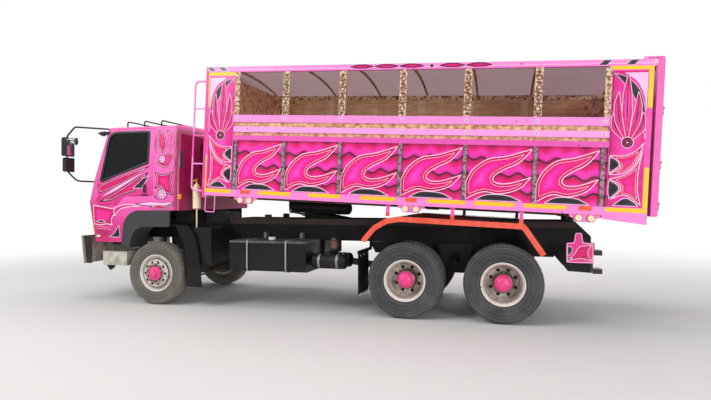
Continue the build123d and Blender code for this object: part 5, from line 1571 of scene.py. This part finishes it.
def axle_fittings(dark):
    """U-bolts over the springs, front dampers and rear brake chambers."""
    for station, low, high, inner, outer in (
        (0.0, 0.415, 0.560, 0.430, 0.514), (MID_AXLE + 0.673, 0.700, 0.845, 0.432, 0.552),
    ):
        crown = ((inner + outer) / 2, high + 0.012)
        path = smooth([(inner, low), (inner, high), crown, (outer, high), (outer, low)], 3)
        for side in (-1, 1):
            for shift in (-0.075, 0.075):
                dark.add(*tube([(AXLE_X + station + shift, side * y, z) for y, z in path], 0.010, 8))
    damper = lathe([(0.0, 0.0), (0.0, 0.020), (0.03, 0.034), (0.30, 0.034), (0.31, 0.022), (0.56, 0.022), (0.58, 0.0)],
                   18)
    lean = Matrix.Rotation(math.radians(9), 4, "Y")
    dark.place(damper, *(at(0.130, side * 0.640, 0.500) @ lean @ UPWARD for side in (-1, 1)))
    chamber = lathe([(0.0, 0.0), (0.0, 0.050), (0.018, 0.068), (0.062, 0.072), (0.064, 0.080), (0.076, 0.080),
                     (0.078, 0.072), (0.120, 0.066), (0.134, 0.044), (0.134, 0.0)], 24)
    for station in (MID_AXLE, REAR_AXLE):
        dark.place(chamber, *(at(station + 0.125, side * 0.335, 0.620) @ REARWARD for side in (-1, 1)))


def air_tank_fittings(dark, steel):
    """Domed ends and bands on the two air tanks."""
    dome = lathe([(-0.004, 0.0), (-0.004, 0.108), (0.012, 0.104), (0.030, 0.084), (0.042, 0.050), (0.046, 0.0)])
    band = lathe([(-0.018, 0.109), (-0.018, 0.114), (0.018, 0.114), (0.018, 0.109)], 36, closed=True)
    for y in (-1.000, -0.700):
        dark.place(dome, at(2.640, y, 0.760) @ FORWARD, at(3.120, y, 0.760) @ REARWARD)
        steel.place(band, *(at(station, y, 0.760) @ FORWARD for station in (2.740, 3.020)))


def valve_fittings(brass):
    """The upright bottle's valve, its side port and a bent pipe."""
    x, y, z = 0.664, -1.050, 1.962
    valve = lathe([(0.0, 0.0), (0.0, 0.020), (0.012, 0.020), (0.014, 0.012), (0.040, 0.012), (0.042, 0.019),
                   (0.060, 0.019), (0.064, 0.0)], 16)
    port = lathe([(0.0, 0.0), (0.0, 0.009), (0.040, 0.009), (0.042, 0.013), (0.052, 0.013), (0.052, 0.0)], 12)
    brass.place(valve, at(x, y, z) @ UPWARD)
    brass.place(port, at(x, y, z + 0.030) @ FORWARD)
    bends = ((-0.05, 0, 0.03), (-0.07, 0, 0.01), (-0.07, 0.01, -0.08))
    brass.add(*tube(smooth([(AXLE_X + x + a, y + b, z + c) for a, b, c in bends], 5), 0.005, 8))


def frame_fittings(dark):
    """Plates to the hitch beam, screens below the frame, hangers and boots between the rear wheels; the screens and
    the big hanger plate are dark sheets that stand in for shade.
    """
    boot = lathe([(0.0, 0.0), (0.0, 0.052), *((0.012 + 0.014 * n, 0.060 if n % 2 else 0.050) for n in range(9)),
                  (0.135, 0.0)], 24)
    plates = (
        # outline in station and height, its y from and to, bevel
        (((5.990, 1.035), (6.590, 1.035), (6.590, 0.640), (6.300, 0.655)), 0.408, 0.396, 0.004),
        # dark screens inside the springs, sheets that stand in for the shade under the frame
        (((3.36, 1.030), (6.20, 1.030), (6.10, 0.855), (3.46, 0.855)), 0.440, 0.432, 0.003),
        # a hanger plate between the rear wheels, a bracket made large and dark to stand in for the shade there
        (((4.44, 1.032), (4.98, 1.032), (4.87, 0.640), (4.56, 0.640)), 0.566, 0.552, 0.005),
    )
    for side in (-1, 1):
        for outline, low, high, bevel in plates:
            dark.place(slab(outline, side * low, side * high, bevel), at(0, 0, 0))
        dark.block((4.46, 4.96), (side * 0.430, side * 0.560), (1.006, 1.030))
        dark.place(boot, at(4.71, side * 0.640, 0.760) @ UPWARD)
        dark.block((4.66, 4.76), (side * 0.560, side * 0.690), (0.744, 0.762))


def filter_canister():
    """A small brown filter on its bracket behind the fuel tank."""
    rust = Batch()
    for low, high, r in ((0.930, 1.060, 0.058), (1.062, 1.098, 0.040)):
        half = [(low, 0.0), (low, r * 0.8), (low + 0.012, r), (high - 0.012, r), (high, r * 0.8), (high, 0.0)]
        rust.place(lathe(half, 24), at(2.889, -0.800, 0) @ UPWARD)
    rust.place(eased_box((0.050, 0.190, 0.030), 0.004), at(2.889, -0.700, 0.985))
    rust.piece("filter_canister", "canister", "root", "axle_iron")


def bed_reservoir():
    """A rounded reservoir with two bands, slung under the front of the bed."""
    tank = Batch()
    shell = lathe([(0.0, 0.0), (0.0, 0.030), (0.012, 0.070), (0.045, 0.098), (0.090, 0.105), (0.98, 0.105),
                   (1.03, 0.096), (1.06, 0.060), (1.065, 0.0)], 36)
    seat = Matrix.Translation(bed_point(5.205, -0.225, -0.165)) @ Matrix.Rotation(BED_TILT, 4, "Y") @ REARWARD
    tank.place(shell, seat)
    for y in (0.22, 0.84):
        tank.place(lathe([(y, 0.104), (y, 0.110), (y + 0.04, 0.110), (y + 0.04, 0.104)], 36, closed=True), seat)
    tank.piece("bed_reservoir", "chassis", "bed", "chassis_black")


def flap_edges():
    """Pale lower strips and rivets on the front mudguards' flaps."""
    edge = Batch()
    rivet = lathe([(-0.004, 0.0), (-0.004, 0.014), (0.003, 0.012), (0.004, 0.0)], 12)
    for side in (-1, 1):
        edge.block((3.379, 3.393), (side * 0.620, side * 1.215), (0.296, 0.318), 0.003)
        edge.place(rivet, *(at(3.3925, side * y, 0.870) @ REARWARD for y in (0.70, 0.90, 1.10)))
    edge.piece("flap_edges", "plate", "root", "chassis_black")


def chassis_trim():
    """What hangs on the axles, the frame, the tanks and the bottle."""
    dark, steel, brass = Batch(), Batch(), Batch()
    axle_fittings(dark)
    air_tank_fittings(dark, steel)
    valve_fittings(brass)
    frame_fittings(dark)
    dark.piece("chassis_fittings", "chassis", "root", "chassis_black")
    steel.piece("tank_bands", "bolt", "root", "chassis_black")
    brass.piece("bottle_valve", "brass", "root", "chassis_black")
    filter_canister()
    bed_reservoir()
    flap_edges()
    number_plate("rear_plate", at(6.6085, 0, 1.075) @ REARWARD, "root")


# Soft goods

# How far the cloth run may move a point, and the seams' share of a pad's half width.
PAD_SWELL = 0.010
PIPING = 0.58


def read_places(mesh):
    """The mesh's points as an array of rows."""
    places = np.zeros(len(mesh.vertices) * 3)
    mesh.vertices.foreach_get("co", places)
    return places.reshape(-1, 3)


def run_cloth(made, last_frame):
    """Plays the frames and returns the points of the simulated mesh."""
    for number in range(1, last_frame + 1):
        bpy.context.scene.frame_set(number)
    return read_places(made.evaluated_get(bpy.context.evaluated_depsgraph_get()).to_mesh())


def load_cover():
    """The canvas over the bows, sagging a little between them."""
    bows = (0.210, 1.376, 2.290, 3.188, 4.075, 4.952, 6.180)
    seat_y = BED_HALF - 0.030
    ridge = 0.150
    radius = (seat_y ** 2 + ridge ** 2) / (2 * ridge)
    first, last = 0.180, 6.274
    columns, rows = 122, 44
    swing = math.asin((seat_y + 0.004) / radius)
    turns = [-swing + 2 * swing * k / rows for k in range(rows + 1)]
    verts = []
    pinned = []
    for n in range(columns + 1):
        u = first + (last - first) * n / columns
        nearest = min(abs(u - bow) for bow in bows)
        for k, a in enumerate(turns):
            v = BED_TOP + 0.005 + ridge - radius * (1 - math.cos(a))
            verts.append(bed_point(u, radius * math.sin(a), v))
            pinned.append(k in (0, rows) or n in (0, columns) or nearest < 0.026)
    for a in turns:
        verts.append(bed_point(last + 0.004, radius * math.sin(a), BED_TOP + 0.004))
        pinned.append(True)
    mesh = bpy.data.meshes.new("canvas_cover")
    mesh.from_pydata(verts, [], skin(columns + 2, rows + 1, looped=False, closed=False))
    mesh.polygons.foreach_set("use_smooth", [True] * len(mesh.polygons))
    mesh.materials.append(materials["canvas"])
    cover = linked("canvas_cover", mesh)
    group = cover.vertex_groups.new(name="pinned")
    group.add([n for n, held in enumerate(pinned) if held], 1.0, "ADD")
    drape(cover)
    thick = cover.modifiers.new("thickness", "SOLIDIFY")
    thick.thickness = 0.002
    thick.offset = 0.0
    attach(cover, "bed")
    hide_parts("load_cover")


def drape(cover):
    """Lets the canvas sag under its own weight, then keeps the result as its mesh."""
    last_frame = 30
    cloth = cover.modifiers.new("cloth", "CLOTH")
    cloth.settings.quality = 6
    cloth.settings.mass = 0.4
    cloth.settings.tension_stiffness = 40
    cloth.settings.compression_stiffness = 20
    cloth.settings.bending_stiffness = 0.3
    cloth.settings.shrink_min = -0.006
    cloth.settings.vertex_group_mass = "pinned"
    cloth.point_cache.frame_start = 1
    cloth.point_cache.frame_end = last_frame
    places = run_cloth(cover, last_frame)
    cover.modifiers.remove(cloth)
    cover.data.vertices.foreach_set("co", places.ravel())
    bpy.context.scene.frame_set(1)
    cover.data.update()


def crowned(size):
    """A closed pad, crowned above and below, its edges pulled in between the corners."""
    columns, rows = 18, 14
    wide, deep, thick = size
    pull = 0.03
    verts = []
    for way in (-0.5, 0.5):
        for n in range(columns + 1):
            for k in range(rows + 1):
                s = 2 * n / columns - 1
                t = 2 * k / rows - 1
                x = s * wide / 2 * (1 - pull * (1 - t * t) * abs(s) ** 4)
                y = t * deep / 2 * (1 - pull * (1 - s * s) * abs(t) ** 4)
                crown = (max(1 - s ** 6, 0) * max(1 - t ** 6, 0)) ** 0.5
                verts.append((x, y, way * thick * (0.45 + 0.55 * crown)))
    per = (columns + 1) * (rows + 1)
    faces = []
    for n in range(columns):
        for k in range(rows):
            a = n * (rows + 1) + k
            b = a + rows + 1
            faces.append((a, a + 1, b + 1, b))
            faces.append((per + a, per + b, per + b + 1, per + a + 1))
    rim = [n * (rows + 1) for n in range(columns)]
    rim += [columns * (rows + 1) + k for k in range(rows)]
    rim += [columns * (rows + 1) + rows - n * (rows + 1) for n in range(columns)]
    rim += [rows - k for k in range(rows)]
    for a, b in zip(rim, rim[1:] + rim[:1]):
        faces.append((a, b, per + b, per + a))
    return verts, faces


def swell(pad):
    """Remeshes the pad and lets it fill by a short cloth run, no vertex moving beyond a cap."""
    remesh = pad.modifiers.new("remesh", "REMESH")
    remesh.mode = "VOXEL"
    remesh.voxel_size = 0.010
    fine = bpy.data.meshes.new_from_object(pad.evaluated_get(bpy.context.evaluated_depsgraph_get()))
    pad.modifiers.remove(remesh)
    pad.data = fine
    start = read_places(fine)
    cloth = pad.modifiers.new("cloth", "CLOTH")
    cloth.settings.use_pressure = True
    cloth.settings.uniform_pressure_force = 4.0
    cloth.settings.effector_weights.gravity = 0.0
    move = run_cloth(pad, 20) - start
    pad.modifiers.remove(cloth)
    far = np.linalg.norm(move, axis=1)[:, None]
    move *= np.minimum(1.0, PAD_SWELL / np.maximum(far, 1e-9))
    fine.vertices.foreach_set("co", (start + move).ravel())
    bpy.context.scene.frame_set(1)


def sew(mesh, wide, deep):
    """Presses the piping seams and the sewn channels into the pad's upper face."""
    places = read_places(mesh)
    for n, (x, y, z) in enumerate(places):
        if z > 0:
            s, t = 2 * x / wide, 2 * y / deep
            press = 0.013 * math.exp(-((abs(s) - PIPING) / 0.045) ** 2)
            if abs(s) < PIPING:
                press += 0.009 * math.exp(-(((t * 3.0) % 1.0 - 0.5) / 0.13) ** 2)
            places[n, 2] -= press * max(1 - abs(t) ** 6, 0)
    mesh.vertices.foreach_set("co", places.ravel())


def cushion(name, size, spot):
    """One sewn pad of the cab's seats, filled by a cloth run and laid at its spot."""
    verts, faces = crowned(size)
    made = linked(name, bpy.data.meshes.new(name))
    made.data.from_pydata(verts, [], faces)
    swell(made)
    mesh = made.data
    sew(mesh, *size[:2])
    mesh.transform(spot)
    mesh.polygons.foreach_set("use_smooth", [True] * len(mesh.polygons))
    mesh.materials.clear()
    mesh.materials.append(materials["seat"])
    soft = made.modifiers.new("soft", "SUBSURF")
    soft.levels = 1
    soft.render_levels = 1
    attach(made, "cab")
    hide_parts("seats")


def seats():
    """Seat and back cushions for the driver and the mate."""
    floor = 1.563
    lean = Matrix.Rotation(math.radians(-90 + 9.5), 4, "Y")
    for y, word in ((-0.56, "left"), (0.56, "right")):
        cushion("seat_base_" + word, (0.504, 0.484, 0.126), at(-0.160, y, floor + 0.190))
        cushion("seat_back_" + word, (0.624, 0.464, 0.102), at(0.160, y, floor + 0.580) @ lean)


bed_art()
cab_art()
tyres()
wheel_trim()
rail_bolts()
post_pattern()
lamp_trim()
window_seals()
cab_seals()
cab_trim()
bumper_trim()
tow_art()
gate_art()
gate_trim()
headboard_art()
chassis_trim()
load_cover()
seats()


# Studio


def studio():
    """A pale floor that fades to white, four soft lamps and a white world."""
    reach = 60.0
    floor_mesh = bpy.data.meshes.new("studio_floor")
    corners = [(-reach, -reach, 0), (reach, -reach, 0), (reach, reach, 0), (-reach, reach, 0)]
    floor_mesh.from_pydata(corners, [], [(0, 1, 2, 3)])
    shade = Shade("studio_floor")
    shade.put(Base_Color=rgb(214, 212, 208), Roughness=shade.span(shade.noise(0.4), 0.3, 0.7, 0.75, 0.9))
    away = shade.length(shade.axes()["X"], shade.axes()["Y"])
    seen = shade.node("ShaderNodeLightPath").outputs["Is Camera Ray"]
    white = shade.node("ShaderNodeEmission")
    fade = shade.node("ShaderNodeMixShader")
    shade.feed(shade.times(shade.span(away, 5.0, 14.0), seen), fade.inputs[0])
    shade.feed(shade.shader.outputs[0], fade.inputs[1])
    shade.feed(white.outputs[0], fade.inputs[2])
    shade.feed(fade.outputs[0], shade.tree.nodes["Material Output"].inputs["Surface"])
    floor_mesh.materials.append(shade.material)
    linked("studio_floor", floor_mesh)
    lamps = (
        # name, place, aim, size, watts
        ("key", (-7.5, -9.0, 9.0), (0, -1, 1.6), 7.0, 880),
        ("fill", (12.0, -13.5, 3.8), (0.5, 0.5, 2.9), 5.0, 1120),
        ("top", (0.0, 0.5, 11.0), (0, 0, 1.0), 9.0, 640),
        ("back", (4.0, 11.0, 7.0), (0, 0, 1.5), 7.0, 420),
    )
    for name, place, aim, size, watts in lamps:
        light = bpy.data.lights.new(name, "AREA")
        light.energy = watts
        light.size = size
        made = linked(name, light)
        made.location = place
        made.rotation_euler = (Vector(aim) - Vector(place)).to_track_quat("-Z", "Y").to_euler()
    world = bpy.data.worlds.new("studio")
    bpy.context.scene.world = world
    world.use_nodes = True
    tree = world.node_tree
    ambient = tree.nodes["Background"]
    ambient.inputs["Color"].default_value = rgb(236, 240, 246)
    ambient.inputs["Strength"].default_value = 0.52
    backdrop = tree.nodes.new("ShaderNodeBackground")
    backdrop.inputs["Color"].default_value = (1, 1, 1, 1)
    path = tree.nodes.new("ShaderNodeLightPath")
    choose = tree.nodes.new("ShaderNodeMixShader")
    tree.links.new(path.outputs["Is Camera Ray"], choose.inputs[0])
    tree.links.new(ambient.outputs[0], choose.inputs[1])
    tree.links.new(backdrop.outputs[0], choose.inputs[2])
    tree.links.new(choose.outputs[0], tree.nodes["World Output"].inputs[0])


def camera():
    """The camera that was solved from the photo."""
    data = bpy.data.cameras.new("camera")
    data.lens = 27.39
    data.sensor_width = 36
    made = linked("camera", data)
    made.location = (2.4768, -8.7408, 1.6809)
    made.rotation_euler = (math.radians(90), 0, math.radians(15.235))
    bpy.context.scene.camera = made


studio()
camera()
bpy.context.scene.view_settings.view_transform = "Standard"
